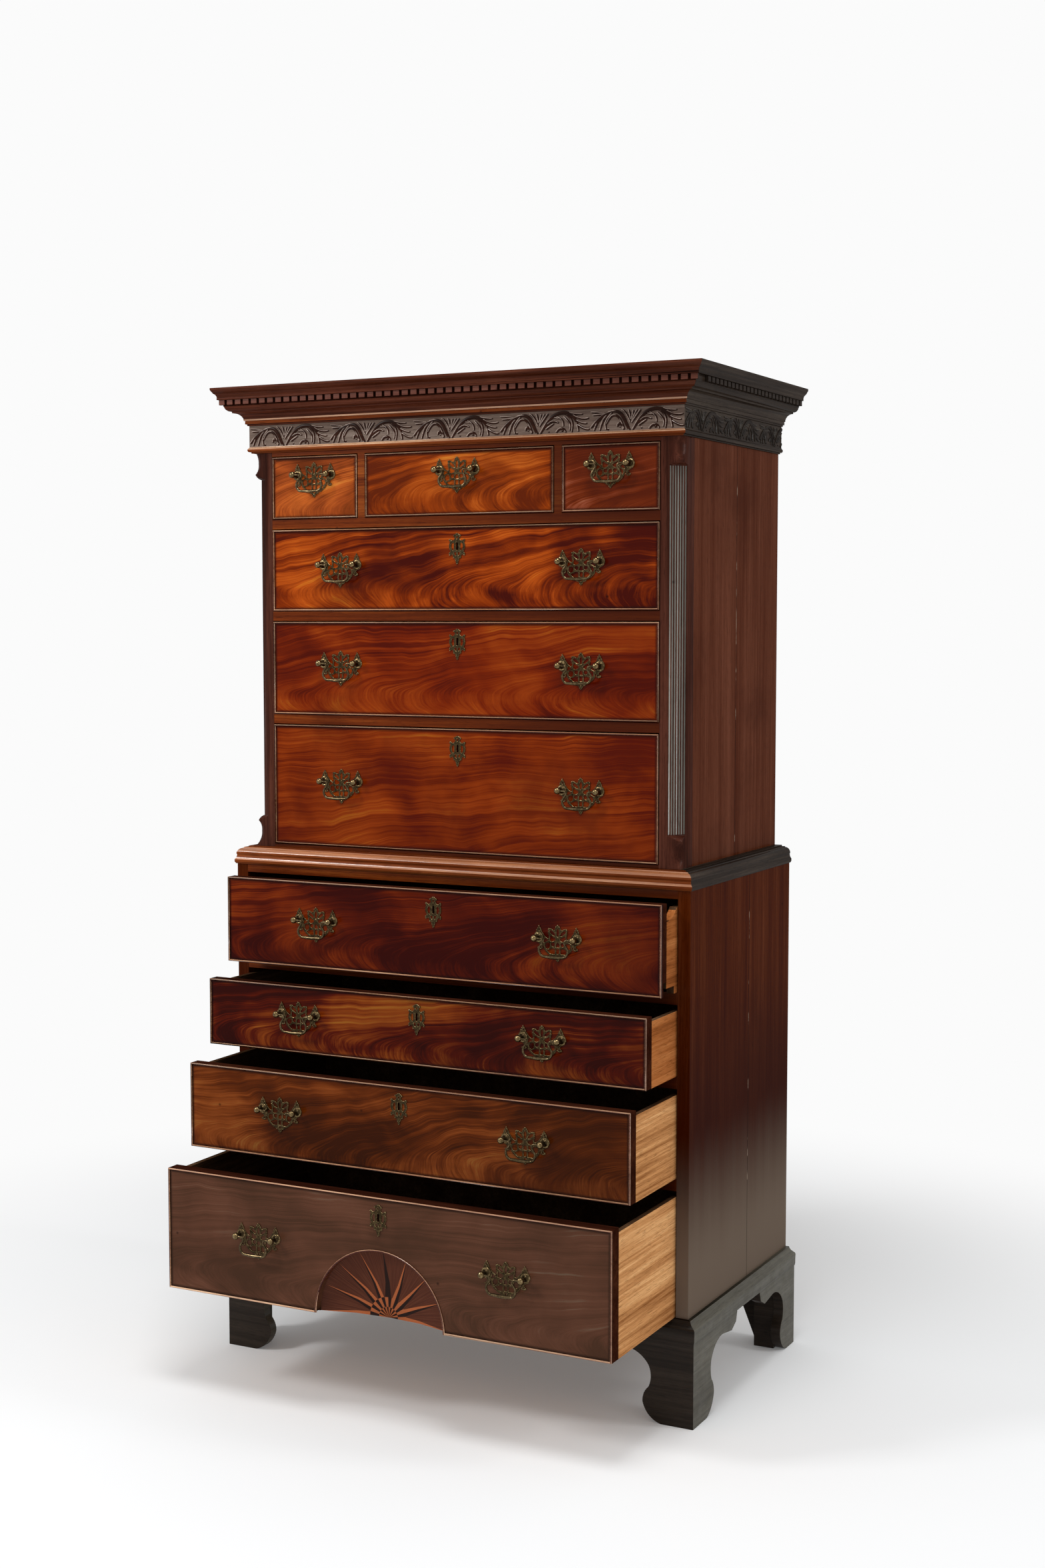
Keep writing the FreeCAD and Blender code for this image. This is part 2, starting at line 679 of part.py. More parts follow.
def bracket(name, hand, length, waist, mitred):
    """One bracket of a foot, its face on y = 0 and its corner at x = 0.

    From the toe it swells to a bulge, narrows to a waist, then sweeps up into an arch
    that ends in a spur. hand "1" runs towards +X and "-1" towards -X."""
    body = new_body(name)
    face = sketch_on(body, "XZ_Plane", name + "Face")
    far = "(%s - bracket_length)" % length
    bulge = "(%s + 16)" % waist
    stations = [("0", "0"), ("%s - 20" % waist, "0"), (bulge, "38"), ("%s + 4" % waist, "66")]
    stations += [("%s + 4" % waist, "106"), ("142 + %s" % far, "134"), ("187 + %s" % far, "127")]
    stations += [("209 + %s" % far, "138"), (length, "base_foot"), ("0", "base_foot")]
    corners = [("%s * (%s)" % (hand, x), z) for x, z in stations]
    bends = {1: 49, 2: 36, 3: -47, 4: -60}
    outline(face, corners, {side: "%s * (%d)" % (hand, bend) for side, bend in bends.items()})
    pad(body, face, "bracket_thick", reverse=True)
    if mitred:
        mitre = sketch_on(body, "XY_Plane", name + "Mitre")
        tip = "%s * bracket_thick" % hand
        outline(mitre, [("0", "0"), (tip, "bracket_thick"), ("0", "bracket_thick")])
        pocket(body, mitre, "base_foot", reverse=True)
    return body


def rear_brace(name, hand):
    """The plain sloped board that faces a rear foot to the wall."""
    body = new_body(name)
    face = sketch_on(body, "XZ_Plane", name + "Face")
    corners = [("0", "0"), ("55", "0"), ("120", "base_foot"), ("0", "base_foot")]
    outline(face, [("%s * %s" % (hand, x), z) for x, z in corners])
    pad(body, face, "bracket_thick")
    return body


def feet():
    """Four feet: two mitred brackets in front, a bracket and a plain brace behind,
    and a square glue block in each corner."""
    towards_right = bracket("BracketRightward", "1", "bracket_length", "bracket_waist", True)
    towards_left = bracket("BracketLeftward", "-1", "bracket_length", "bracket_waist", True)
    rear_right = bracket("RearBracketRight", "-1", "rear_bracket_length", "(bracket_waist - 20)", False)
    rear_left = bracket("RearBracketLeft", "1", "rear_bracket_length", "(bracket_waist - 20)", False)
    x = "(lower_width / 2 + bracket_reach)"
    y = "-bracket_reach"
    inner = "(%s - bracket_thick)" % x
    feet_pieces = [
        group("FootFrontLeftFace", [towards_right], ("-%s" % x, y, "0")),
        group("FootFrontLeftSide", [towards_left], ("-%s" % x, y, "0"), -90),
        group("FootFrontRightFace", [towards_left], (x, y, "0")),
        group("FootFrontRightSide", [towards_right], (x, y, "0"), 90),
        group("FootRearRightSide", [rear_right], (x, "lower_depth", "0"), 90),
        group("FootRearLeftSide", [rear_left], ("-%s" % x, "lower_depth", "0"), -90),
        group("FootRearLeftBrace", [rear_brace("BraceLeft", "1")], ("-%s" % inner, "lower_depth", "0")),
        group("FootRearRightBrace", [rear_brace("BraceRight", "-1")], (inner, "lower_depth", "0")),
    ]
    size = ("glue_block", "glue_block", "base_foot - 2")
    for name, at in (
        ("FrontLeft", ("-%s" % inner, "%s + bracket_thick" % y, "2")),
        ("FrontRight", ("%s - glue_block" % inner, "%s + bracket_thick" % y, "2")),
        ("RearLeft", ("-%s" % inner, "lower_depth - bracket_thick - glue_block", "2")),
        ("RearRight", ("%s - glue_block" % inner, "lower_depth - bracket_thick - glue_block", "2")),
    ):
        feet_pieces.append(board("GlueBlock" + name, size, at))
    return feet_pieces


# ---------------------------------------------------------------- brasses


def mirror_half(half):
    """A closed outline from its right half; points on the centre line are not repeated."""
    return half + [("-(%s)" % x, z) for x, z in reversed(half) if x != "0"]


HEAD_FLAT = "(post_head * 0.866)"


def handle_plate():
    """A pierced backplate: a leaf crown, a boss and finial over each post, scrolled feet
    and a pointed drop."""
    body = new_body("HandlePlate")
    face = sketch_on(body, "XZ_Plane", "HandlePlateFace")
    boss = "post_spread / 2"
    half = [("0", "24"), ("9", "14.5"), ("18.5", "17"), ("17", "2"), ("27", "1.5"), (boss, "20.5")]
    half += [(boss + " + 10", "0"), (boss + " - 5", "-12"), (boss + " + 1", "-21"), ("0", "-43.5")]
    outline(face, mirror_half(half))
    for side in ("-1", "1"):
        hole = [("13", "-5"), ("27", "-7"), ("20", "-20")]
        outline(face, [("%s * %s" % (side, x), z) for x, z in hole])
        outline(face, square_hole("%s * %s" % (side, boss), "0"))
    pad(body, face, "plate_thick")
    return body


def square_hole(x, z):
    """Corners of the square hole that a post's shank passes through."""
    half = "(shank / 2 + shank_clearance)"
    return oblong("%s - %s" % (x, half), "%s - %s" % (z, half), "%s + %s" % (x, half),
                  "%s + %s" % (z, half))


def ring(sides, x, y, radius):
    """The corners of a regular polygon round a point, with a flat straight to the right."""
    corners = []
    for number in range(sides):
        angle = 2 * math.pi * (number + 0.5) / sides
        across = "%s + %s * %.5f" % (x, radius, math.cos(angle))
        corners.append((across, "%s + %s * %.5f" % (y, radius, math.sin(angle))))
    return corners


def handle_post(name, thickness, inward):
    """A post for one end of a bail: a faceted head with a socket for the bail's end, and a
    square shank right through the drawer front. The socket looks to +X where inward is 1."""
    body = new_body(name)
    crown = sketch_on(body, "XZ_Plane", name + "Crown", "post_reach")
    outline(crown, ring(6, "0", "0", "post_head"))
    pad(body, crown, "post_head_length", reverse=True)
    socket = sketch_on(body, "YZ_Plane", name + "Socket", "%d * %s" % (inward, HEAD_FLAT))
    half = "(bail_thick / 2 + bail_clearance)"
    outline(socket, oblong("-pivot_reach - " + half, "-" + half, "-pivot_reach + " + half, half))
    pocket(body, socket, "bail_seat + 0.5", reverse=inward < 0)
    shank = sketch_on(body, "XZ_Plane", name + "Shank", "post_reach - post_head_length")
    outline(shank, oblong("-shank / 2", "-shank / 2", "shank / 2", "shank / 2"))
    pad(body, shank, "post_reach - post_head_length + %s + shank_end" % thickness, reverse=True)
    return body


def bail():
    """A swan-neck bail hanging from its pivot axis, which is X through the origin."""
    body = new_body("Bail")
    face = sketch_on(body, "XZ_Plane", "BailFace", "-bail_thick / 2")
    end = "(post_spread / 2 - %s + bail_seat)" % HEAD_FLAT
    half = [("14", "-30"), ("26", "-19"), ("20.5", "-4"), ("25", "bail_end / 2")]
    half += [(end, "bail_end / 2"), (end, "-bail_end / 2"), ("26.5", "-bail_end / 2"), ("25", "-5")]
    half += [("30.5", "-18"), ("17", "-36")]
    outline(face, mirror_half(half))
    pad(body, face, "bail_thick")
    return body


def escutcheon():
    """A pierced keyhole plate; the keyhole's middle is at the origin."""
    body = new_body("Escutcheon")
    face = sketch_on(body, "XZ_Plane", "EscutcheonFace")
    half = [("0", "24"), ("7.5", "19"), ("5", "13"), ("16", "11.5"), ("16.5", "0"), ("12.5", "-9.5")]
    half += [("16", "-18"), ("7.5", "-19"), ("4", "-23.5"), ("0", "-34.5")]
    outline(face, mirror_half(half))
    outline(face, oblong("-2.2", "-7.2", "2.2", "7.2"))
    pad(body, face, "plate_thick")
    return body


HANDLE_PLATE = handle_plate()
POSTS = {
    thickness: [handle_post(name + "Left", thickness, 1), handle_post(name + "Right", thickness, -1)]
    for name, thickness in (("Post", "front_thick"), ("LongPost", "sunburst_thick"))
}
BAIL = bail()
ESCUTCHEON = escutcheon()


def handle(name, thickness, x, z):
    """A backplate with its two posts, on a front of that thickness."""
    pieces = [group(name + "Plate", [HANDLE_PLATE], (x, "0", z))]
    for end, side, post in zip(("Left", "Right"), ("-1", "1"), POSTS[thickness]):
        at = ("%s + %s * post_spread / 2" % (x, side), "0", z)
        pieces.append(group(name + end + "Post", [post], at))
    return pieces


def lock(name, height, thickness):
    """An iron lock screwed behind the front, under the top edge."""
    size = ("lock_width", "lock_thick", "lock_height")
    return board(name, size, ("-lock_width / 2", thickness, "%s - bead_width - lock_height" % height))


# ---------------------------------------------------------------- drawers


def drawer_front(name, width, height, thickness, handles, keyed, rise):
    """The front board, rebated for its cockbeads, with holes for the posts and the key."""
    body = new_body(name + "Board")
    inner = sketch_on(body, "XZ_Plane", name + "Face")
    side = "(%s / 2)" % width
    outline(inner, oblong("-%s + bead_width" % side, "bead_width", "%s - bead_width" % side,
                          "%s - bead_width" % height))
    pad(body, inner, thickness, reverse=True)
    outer = sketch_on(body, "XZ_Plane", name + "Back", "-bead_depth")
    outline(outer, oblong("-" + side, "0", side, height))
    pad(body, outer, "%s - bead_depth" % thickness, reverse=True)
    holes = sketch_on(body, "XZ_Plane", name + "Holes")
    level = "(%s / 2 + %s)" % (height, rise)
    for x in handles:
        for post in ("-1", "1"):
            outline(holes, square_hole("(%s + %s * post_spread / 2)" % (x, post), level))
    if keyed:
        middle = "(%s - keyhole_drop)" % height
        outline(holes, oblong("-2.2", middle + " - 7.2", "2.2", middle + " + 7.2"))
    pocket(body, holes)
    return body


def cockbead(name, width, height, depth):
    """Four mitred strips of bead that stand proud round a drawer front: under, right, over
    and left."""
    side = "(%s / 2)" % width
    outer = oblong("-" + side, "0", side, height)
    inner = oblong("-%s + bead_width" % side, "bead_width", "%s - bead_width" % side,
                   "%s - bead_width" % height)
    strips = []
    for number, word in enumerate(("Under", "Right", "Over", "Left")):
        following = (number + 1) % 4
        strip = new_body(name + word + "Bead")
        face = sketch_on(strip, "XZ_Plane", name + word + "BeadFace", "bead_proud")
        outline(face, [outer[number], outer[following], inner[following], inner[number]])
        pad(strip, face, "bead_proud + %s" % depth, reverse=True)
        strips.append(strip)
    return strips


def drawer_box(name, width, height, thickness, blocked=False):
    """Oak sides, back, bottom and the runner strips under the bottom, which is notched
    round the niche's block where there is one."""
    side = "(%s / 2 - 0.5)" % width
    wall = "(%s - lining_drop + gap_under - runner_gap)" % height
    foot = "runner_gap - gap_under"
    run = "(drawer_depth - (%s))" % thickness
    inside = "(2 * (%s - lining))" % side
    pieces = [board(name + "SideLeft", ("lining", run, wall), ("-" + side, thickness, foot))]
    pieces.append(board(name + "SideRight", ("lining", run, wall), (side + " - lining", thickness, foot)))
    back = "(%s - 2 * lining_drop - bottom_rise - bottom_thick)" % height
    at = ("-%s / 2" % inside, "drawer_depth - lining", "bottom_rise + bottom_thick")
    pieces.append(board(name + "Back", (inside, "lining", back), at))
    bottom = new_body(name + "Bottom")
    plan = sketch_on(bottom, "XY_Plane", name + "BottomPlan", "bottom_rise")
    edge = "(%s / 2)" % inside
    corners = [(edge, "drawer_depth"), ("-" + edge, "drawer_depth"), ("-" + edge, thickness)]
    if blocked:
        half = "(niche_block_width / 2)"
        behind = "(%s + niche_block)" % thickness
        corners += [("-" + half, thickness), ("-" + half, behind), (half, behind), (half, thickness)]
    outline(plan, corners + [(edge, thickness)])
    pad(bottom, plan, "bottom_thick")
    pieces.append(bottom)
    strip = ("lining", "%s - 40" % run, "bottom_rise - (%s)" % foot)
    for end, x in (("Left", "-%s / 2" % inside), ("Right", "%s / 2 - lining" % inside)):
        pieces.append(board(name + "Runner" + end, strip, (x, "%s + 40" % thickness, foot)))
    return pieces


def hang_bail(label, x, y, z, lifted=False):
    """A bail as its own sub-part; a lifted one stands out level from its posts."""
    source = BAIL
    if lifted:
        source = group("RaisedBail", [BAIL])
        source.Placement.Rotation = FreeCAD.Rotation(FreeCAD.Vector(-1, 0, 0), 82)
    return node(label, [source], x, "%s - pivot_reach" % y, z)


def drawer(label, word, width, height, x, y, z, handles, keyed=True, rise="handle_rise",
           thickness="front_thick"):
    """One whole drawer as nodes: front, box, brasses and a bail for each handle."""
    front = drawer_front(word, width, height, thickness, [at for _, at in handles], keyed, rise)
    beads = cockbead(word, width, height, "bead_depth")
    sunburst = thickness == "sunburst_thick"
    box = drawer_box(word, width, height, thickness, sunburst)
    fronts = (niche(word, front, beads[0]) if sunburst else [front]) + beads
    if keyed:
        node(label + "_front", fronts, x, y, z)
        node(label + "_box", box, x, y, z)
    else:
        node(label, fronts + box, x, y, z)
    level = "(%s / 2 + %s)" % (height, rise)
    brasses = []
    for side, at in handles:
        brasses += handle(word + side.title() + "Handle", thickness, at, level)
    if keyed:
        brasses.append(group(word + "Escutcheon", [ESCUTCHEON], ("0", "0", "%s - keyhole_drop" % height)))
        brasses.append(lock(word + "Lock", height, thickness))
    node(label + "_brasses", brasses, x, y, z)
    for side, at in handles:
        ending = "_bail" if side == "middle" else "_bail_" + side
        lifted = (label, side) == ("lower_third_drawer", "left")
        hang_bail(label + ending, "%s + %s" % (x, at), y, "%s + %s" % (z, level), lifted)


def niche(word, front, under):
    """The sunburst drawer's round-headed niche: a short wall, then a shallow dish, with a
    bead bent round its arch and the bead under the front stopped against it."""
    wall = sketch_on(front, "XZ_Plane", word + "NicheWall")
    radius = "niche_radius"
    sill = "-1"
    half_round = [("-" + radius, sill), (radius, sill), (radius, "0"), ("-" + radius, "0")]
    outline(wall, half_round, {2: radius + " + 0.01"})
    pocket(front, wall, "niche_wall")
    sink_dish(front, word + "FrontDish")
    block = new_body(word + "Block")
    slab = sketch_on(block, "XZ_Plane", word + "BlockFace", "-sunburst_thick")
    half = "(niche_block_width / 2)"
    outline(slab, oblong("-" + half, "0", half, "niche_block_height"))
    pad(block, slab, "niche_block", reverse=True)
    sink_dish(block, word + "BlockDish")
    gap = sketch_on(under, "XZ_Plane", word + "BeadGap", "bead_proud + 1")
    outer = "(niche_radius + bead_width)"
    outline(gap, oblong("-" + outer, "-1", outer, "bead_width + 1"))
    pocket(under, gap, "bead_depth + bead_proud + 2")
    arch = new_body(word + "ArchBead")
    ring = sketch_on(arch, "XZ_Plane", word + "Arch", "bead_proud")
    corners = [(radius, "0"), (outer, "0"), ("-" + outer, "0"), ("-" + radius, "0")]
    outline(ring, corners, {1: outer + " + 0.01", 3: "-(%s + 0.01)" % radius})
    pad(arch, ring, "bead_proud", reverse=True)
    return [front, block, arch]


def sink_dish(body, name):
    """Hollow a body with the shallow dish at the back of the niche, turned about Y."""
    profile = sketch_on(body, "XY_Plane", name)
    floor = "(niche_wall + niche_dish)"
    corners = [("0", "niche_wall"), ("niche_radius", "niche_wall")]
    corners += [("niche_radius * 0.5", "niche_wall + niche_dish * 0.8")]
    outline(profile, corners + [("0", floor)])
    groove = body.newObject("PartDesign::Groove", name + "Groove")
    groove.Profile = profile
    groove.ReferenceAxis = (profile, ["V_Axis"])
    groove.Angle = 360
    profile.Visibility = False
    return groove


# ---------------------------------------------------------------- secretaire drawer


PIVOT_Y = "front_thick"
PIVOT_Z = "fall_lip"


def fall_board(width):
    """The fall front: a full face and a thinner inner board that stops level with the
    writing surface, so that the face covers the edge of that surface as a lip."""
    body = new_body("FallBoard")
    side = "(%s / 2)" % width
    height = "secretaire_height"
    face = sketch_on(body, "XZ_Plane", "FallFace")
    outline(face, oblong("-%s + bead_width" % side, "bead_width", "%s - bead_width" % side,
                         "%s - bead_width" % height))
    pad(body, face, "fall_face", reverse=True)
    rear = sketch_on(body, "XZ_Plane", "FallRear", "-fall_face / 2")
    outline(rear, oblong("-" + side, "0", side, height))
    pad(body, rear, "fall_face / 2", reverse=True)
    inner = sketch_on(body, "XZ_Plane", "FallInner", "-fall_face")
    outline(inner, oblong("-" + side, PIVOT_Z, side, height))
    pad(body, inner, "front_thick - fall_face", reverse=True)
    holes = sketch_on(body, "XZ_Plane", "FallHoles")
    level = "(%s / 2 + handle_rise)" % height
    for hand in ("-1", "1"):
        for post in ("-1", "1"):
            x = "(%s * handle_spread / 2 + %s * post_spread / 2)" % (hand, post)
            outline(holes, square_hole(x, level))
    middle = "(%s - keyhole_drop)" % height
    outline(holes, oblong("-2.2", middle + " - 7.2", "2.2", middle + " + 7.2"))
    pocket(body, holes)
    recess = sketch_on(body, "XZ_Plane", "FallHingeRecess", "-front_thick")
    for hand in ("-1", "1"):
        left = "%s * hinge_spread / 2 - hinge_length / 2" % hand
        right = "%s * hinge_spread / 2 + hinge_length / 2" % hand
        outline(recess, oblong(left, PIVOT_Z + " - 1", right, PIVOT_Z + " + hinge_leaf"))
    pocket(body, recess, "leaf_thick", reverse=False).Reversed = True
    knuckle = sketch_on(body, "XZ_Plane", "FallKnuckleRecess", "-front_thick")
    for hand in ("-1", "1"):
        left = "%s * hinge_spread / 2 - hinge_length / 2 - 0.3" % hand
        right = "%s * hinge_spread / 2 + hinge_length / 2 + 0.3" % hand
        outline(knuckle, oblong(left, PIVOT_Z + " - 1", right, PIVOT_Z + " + knuckle_radius + 0.3"))
    pocket(body, knuckle, "knuckle_radius + 0.3").Reversed = True
    return body


def secretaire_side(name, x):
    """A drawer side whose top sweeps down behind the fall and whose lower front corner is
    cut away for the lip to turn under."""
    body = new_body(name)
    face = sketch_on(body, "YZ_Plane", name + "Face", x)
    front = "(front_thick + fall_gap)"
    notch = "(front_thick + (fall_lip ^ 2 + front_thick ^ 2) ^ 0.5 + 1.5)"
    under = "(fall_lip - writing_board)"
    foot = "(runner_gap - gap_under)"
    top = "(secretaire_height - secretaire_drop)"
    corners = [(notch, foot), ("drawer_depth", foot), ("drawer_depth", top)]
    corners += [(front + " + shoulder_length", top), (front, "secretaire_height - shoulder_drop")]
    corners += [(front, under), (notch, under)]
    outline(face, corners, {3: "-60"})
    pad(body, face, "secretaire_side")
    return body


def secretaire(label, width):
    """A deep drawer with a fall front, opened out as a writing board."""
    side = "(%s / 2 - 0.5)" % width
    x, y, z = "0", "-secretaire_open", LOWER_LEVELS[3]
    inside = "(2 * (%s - secretaire_side))" % side
    front = "(front_thick + fall_gap)"
    run = "(drawer_depth - %s)" % front
    foot = "(runner_gap - gap_under)"
    box = [secretaire_side("SecretaireSideLeft", "-" + side)]
    box.append(secretaire_side("SecretaireSideRight", side + " - secretaire_side"))
    surface = new_body("WritingBoard")
    plan = sketch_on(surface, "XY_Plane", "WritingBoardPlan", "fall_lip - writing_board")
    outline(plan, oblong("-%s / 2" % inside, front, "%s / 2" % inside, "drawer_depth"))
    pad(surface, plan, "writing_board")
    for suffix, reach, depth, extra in (
        ("Leaf", "%s + hinge_leaf" % front, "leaf_thick", "0"),
        ("Knuckle", "%s + knuckle_radius + 0.3" % PIVOT_Y, "knuckle_radius + 0.3", "0.3"),
    ):
        recess = sketch_on(surface, "XY_Plane", "Writing" + suffix, "fall_lip")
        for hand in ("-1", "1"):
            left = "%s * hinge_spread / 2 - hinge_length / 2 - %s" % (hand, extra)
            right = "%s * hinge_spread / 2 + hinge_length / 2 + %s" % (hand, extra)
            outline(recess, oblong(left, front + " - 1", right, reach))
        pocket(surface, recess, depth)
    box.append(surface)
    wall = "(secretaire_height - secretaire_drop - fall_lip)"
    box.append(board("SecretaireBack", (inside, "lining", wall),
                     ("-%s / 2" % inside, "drawer_depth - lining", PIVOT_Z)))
    strip = ("lining", "%s - 60" % run, "fall_lip - writing_board - %s" % foot)
    for end, at in (("Left", "-%s / 2" % inside), ("Right", "%s / 2 - lining" % inside)):
        box.append(board("SecretaireRunner" + end, strip, (at, front + " + 60", foot)))
    node(label + "_box", box, x, y, z)
    leaves, knuckles = hinges()
    node(label + "_hinges", leaves, x, y, z)
    beads = cockbead("Fall", width, "secretaire_height", "fall_face / 2")
    node("fall_front", [fall_board(width)] + beads, x, y, z)
    level = "(secretaire_height / 2 + handle_rise)"
    brasses = knuckles
    for name, hand in (("Left", "-1"), ("Right", "1")):
        brasses += handle("Fall" + name + "Handle", "front_thick", "%s * handle_spread / 2" % hand, level)
    brasses.append(group("FallEscutcheon", [ESCUTCHEON], ("0", "0", "secretaire_height - keyhole_drop")))
    brasses.append(lock("FallLock", "secretaire_height", "front_thick"))
    node("fall_brasses", brasses, x, y, z)
    node("quadrant_stays", stays(inside), x, y, z)
    for name, hand in (("left", "-1"), ("right", "1")):
        hang_bail("fall_bail_" + name, "%s * handle_spread / 2" % hand, y, "%s + %s" % (z, level))


def hinge_barrel(name, centre, length, bore=None):
    """A knuckle along X round the pivot line, six-sided outside and bored for the pin."""
    body = new_body(name)
    section = sketch_on(body, "YZ_Plane", name + "Section", "%s - (%s) / 2" % (centre, length))
    outline(section, ring(6, PIVOT_Y, PIVOT_Z, "knuckle_radius"))
    if bore:
        circle(section, PIVOT_Y, PIVOT_Z, bore)
    pad(body, section, length)
    return body


def hinge_pin(name, centre):
    body = new_body(name)
    section = sketch_on(body, "YZ_Plane", name + "Section", "%s - hinge_length / 2" % centre)
    circle(section, PIVOT_Y, PIVOT_Z, "pin_radius")
    pad(body, section, "hinge_length")
    return body


def hinges():
    """Butt hinges under the fall. The writing board carries a leaf, two outer knuckles and
    the pin; the fall carries a leaf and the bored middle knuckle."""
    leaves = []
    knuckles = []
    third = "(hinge_length / 3)"
    clear = "(knuckle_radius + 0.3)"
    hold = "(knuckle_radius * 0.8)"
    half = "(hinge_length / 2)"
    slot = "(%s / 2 + 0.2)" % third
    for name, hand in (("Left", "-1"), ("Right", "1")):
        middle = "(%s * hinge_spread / 2)" % hand
        level = new_body("HingeLeaf" + name)
        plan = sketch_on(level, "XY_Plane", "HingeLeafPlan" + name, "fall_lip - leaf_thick")
        near, far = "(front_thick + %s)" % hold, "(front_thick + fall_gap + hinge_leaf)"
        waist = "(front_thick + %s)" % clear
        corners = [("-" + half, near), ("-" + slot, near), ("-" + slot, waist), (slot, waist), (slot, near)]
        corners += [(half, near), (half, far), ("-" + half, far)]
        outline(plan, [("%s + %s" % (middle, x), y) for x, y in corners])
        pad(level, plan, "leaf_thick")
        parts = [level, hinge_pin("HingePin" + name, middle)]
        for end, way in (("L", "-1"), ("R", "1")):
            centre = "(%s + %s * (%s + 0.1))" % (middle, way, third)
            parts.append(hinge_barrel("HingeOuter" + name + end, centre, third + " - 0.2"))
        fixed = doc.addObject("Part::MultiFuse", "HingeFixed" + name)
        fixed.Shapes = parts
        leaves.append(fixed)
        upright = new_body("HingeFallLeaf" + name)
        plan = sketch_on(upright, "XZ_Plane", "HingeFallPlan" + name, "-front_thick")
        near, far = "(fall_lip + %s)" % hold, "(fall_lip + hinge_leaf)"
        waist = "(fall_lip + %s)" % clear
        tab = "(%s / 2 - 0.2)" % third
        corners = [("-" + half, waist), ("-" + tab, waist), ("-" + tab, near), (tab, near), (tab, waist)]
        corners += [(half, waist), (half, far), ("-" + half, far)]
        outline(plan, [("%s + %s" % (middle, x), z) for x, z in corners])
        pad(upright, plan, "leaf_thick")
        barrel = hinge_barrel("HingeMiddle" + name, middle, third + " - 0.4", "pin_radius + pin_clearance")
        moving = doc.addObject("Part::MultiFuse", "HingeMoving" + name)
        moving.Shapes = [upright, barrel]
        knuckles.append(moving)
    return leaves, knuckles


def stays(inside):
    """Brass quadrants that turn with the fall, each with a foot screwed to its inner face."""
    pieces = []
    inner = "(stay_radius - stay_band)"
    end = "0.174"
    for name, x in (("Left", "-%s / 2 + 2" % inside), ("Right", "%s / 2 - 2 - stay_thick" % inside)):
        body = new_body("Stay" + name)
        face = sketch_on(body, "YZ_Plane", "StayFace" + name, x)
        corners = [(PIVOT_Y, "%s + stay_radius" % PIVOT_Z), (PIVOT_Y, "%s + %s" % (PIVOT_Z, inner))]
        for radius in (inner, "stay_radius"):
            y = "%s + %s * 0.985" % (PIVOT_Y, radius)
            corners.append((y, "%s + %s * %s" % (PIVOT_Z, radius, end)))
        outline(face, corners, {1: "-%s" % inner, 3: "stay_radius"})
        pad(body, face, "stay_thick")
        pieces.append(body)
        foot_at = (x, PIVOT_Y, "%s + %s - 18" % (PIVOT_Z, inner))
        pieces.append(board("StayFoot" + name, ("stay_thick", "1.5", "17.7"), foot_at))
    return pieces


# ---------------------------------------------------------------- the chest

node("lower_sides", lower_sides())
node("lower_dustboards", lower_boards())
node("lower_rails", lower_rails())
LOWER_BACK = "(lower_width - lower_side)"
node("lower_back", back_planks("LowerBack", LOWER_BACK, "base_foot", "waist_joint - base_foot"))
node("base_moulding", base_moulding())
node("bracket_feet", feet())
node("waist_moulding", waist_moulding())
node("upper_sides", upper_sides())
node("upper_dustboards", upper_boards())
node("upper_rails", upper_rails())
UPPER_BACK = "(upper_width - upper_side)"
node("upper_back", back_planks("UpperBack", UPPER_BACK, "waist_joint", "upper_top - waist_joint"))
node("canted_corners", [corner_post("PostLeft", "-1"), corner_post("PostRight", "1")])
node("frieze", frieze())
node("cornice", cornice() + dentils())

LOWER_WIDE = "(%s - 2 * gap_side)" % LOWER_INSIDE
UPPER_WIDE = "(%s - 2 * gap_side)" % UPPER_INSIDE
PAIR = [("left", "(-handle_spread / 2)"), ("right", "(handle_spread / 2)")]
drawer("sunburst_drawer", "Sunburst", LOWER_WIDE, "sunburst_height", "0", "-sunburst_open", LOWER_LEVELS[0],
       PAIR, thickness="sunburst_thick")
drawer("lower_third_drawer", "LowerThird", LOWER_WIDE, "lower_third_height", "0", "-lower_third_open",
       LOWER_LEVELS[1], PAIR)
drawer("lower_second_drawer", "LowerSecond", LOWER_WIDE, "lower_second_height", "0", "-lower_second_open",
       LOWER_LEVELS[2], PAIR)
secretaire("secretaire", LOWER_WIDE)
drawer("upper_third_drawer", "UpperThird", UPPER_WIDE, "upper_third_height", "0", "upper_setback",
       UPPER_LEVELS[0],
       PAIR)
drawer("upper_second_drawer", "UpperSecond", UPPER_WIDE, "upper_second_height", "0", "upper_setback",
       UPPER_LEVELS[1], PAIR)
drawer("upper_first_drawer", "UpperFirst", UPPER_WIDE, "upper_first_height", "0", "upper_setback",
       UPPER_LEVELS[2], PAIR)
SHORT_WIDE = "(%s - 2 * gap_side)" % SHORT_OUTER
for side, x, width in (
    ("left", "-%s" % SHORT_CENTRE, SHORT_WIDE),
    ("middle", "0", "short_middle_width"),
    ("right", SHORT_CENTRE, SHORT_WIDE),
):
    drawer("short_drawer_" + side, "Short" + side.title(), width, "short_height", x, "upper_setback",
           UPPER_LEVELS[3], [("middle", "0")], keyed=False, rise="short_handle_rise")

# ---------------------------------------------------------------- check and write

doc.recompute()
for thing in doc.Objects:
    if "Invalid" in thing.State or "Error" in thing.State:
        raise RuntimeError("%s did not rebuild: %s" % (thing.Name, thing.State))

os.makedirs("parts", exist_ok=True)
for held in NODES:
    shape = held.Shape
    if shape.isNull() or not shape.isValid() or not shape.Solids:
        raise RuntimeError("%s has no valid solid" % held.Label)
    Part.makeCompound(shape.Solids).exportStep("parts/%s.step" % held.Label)
print("%d sub-parts written" % len(NODES))
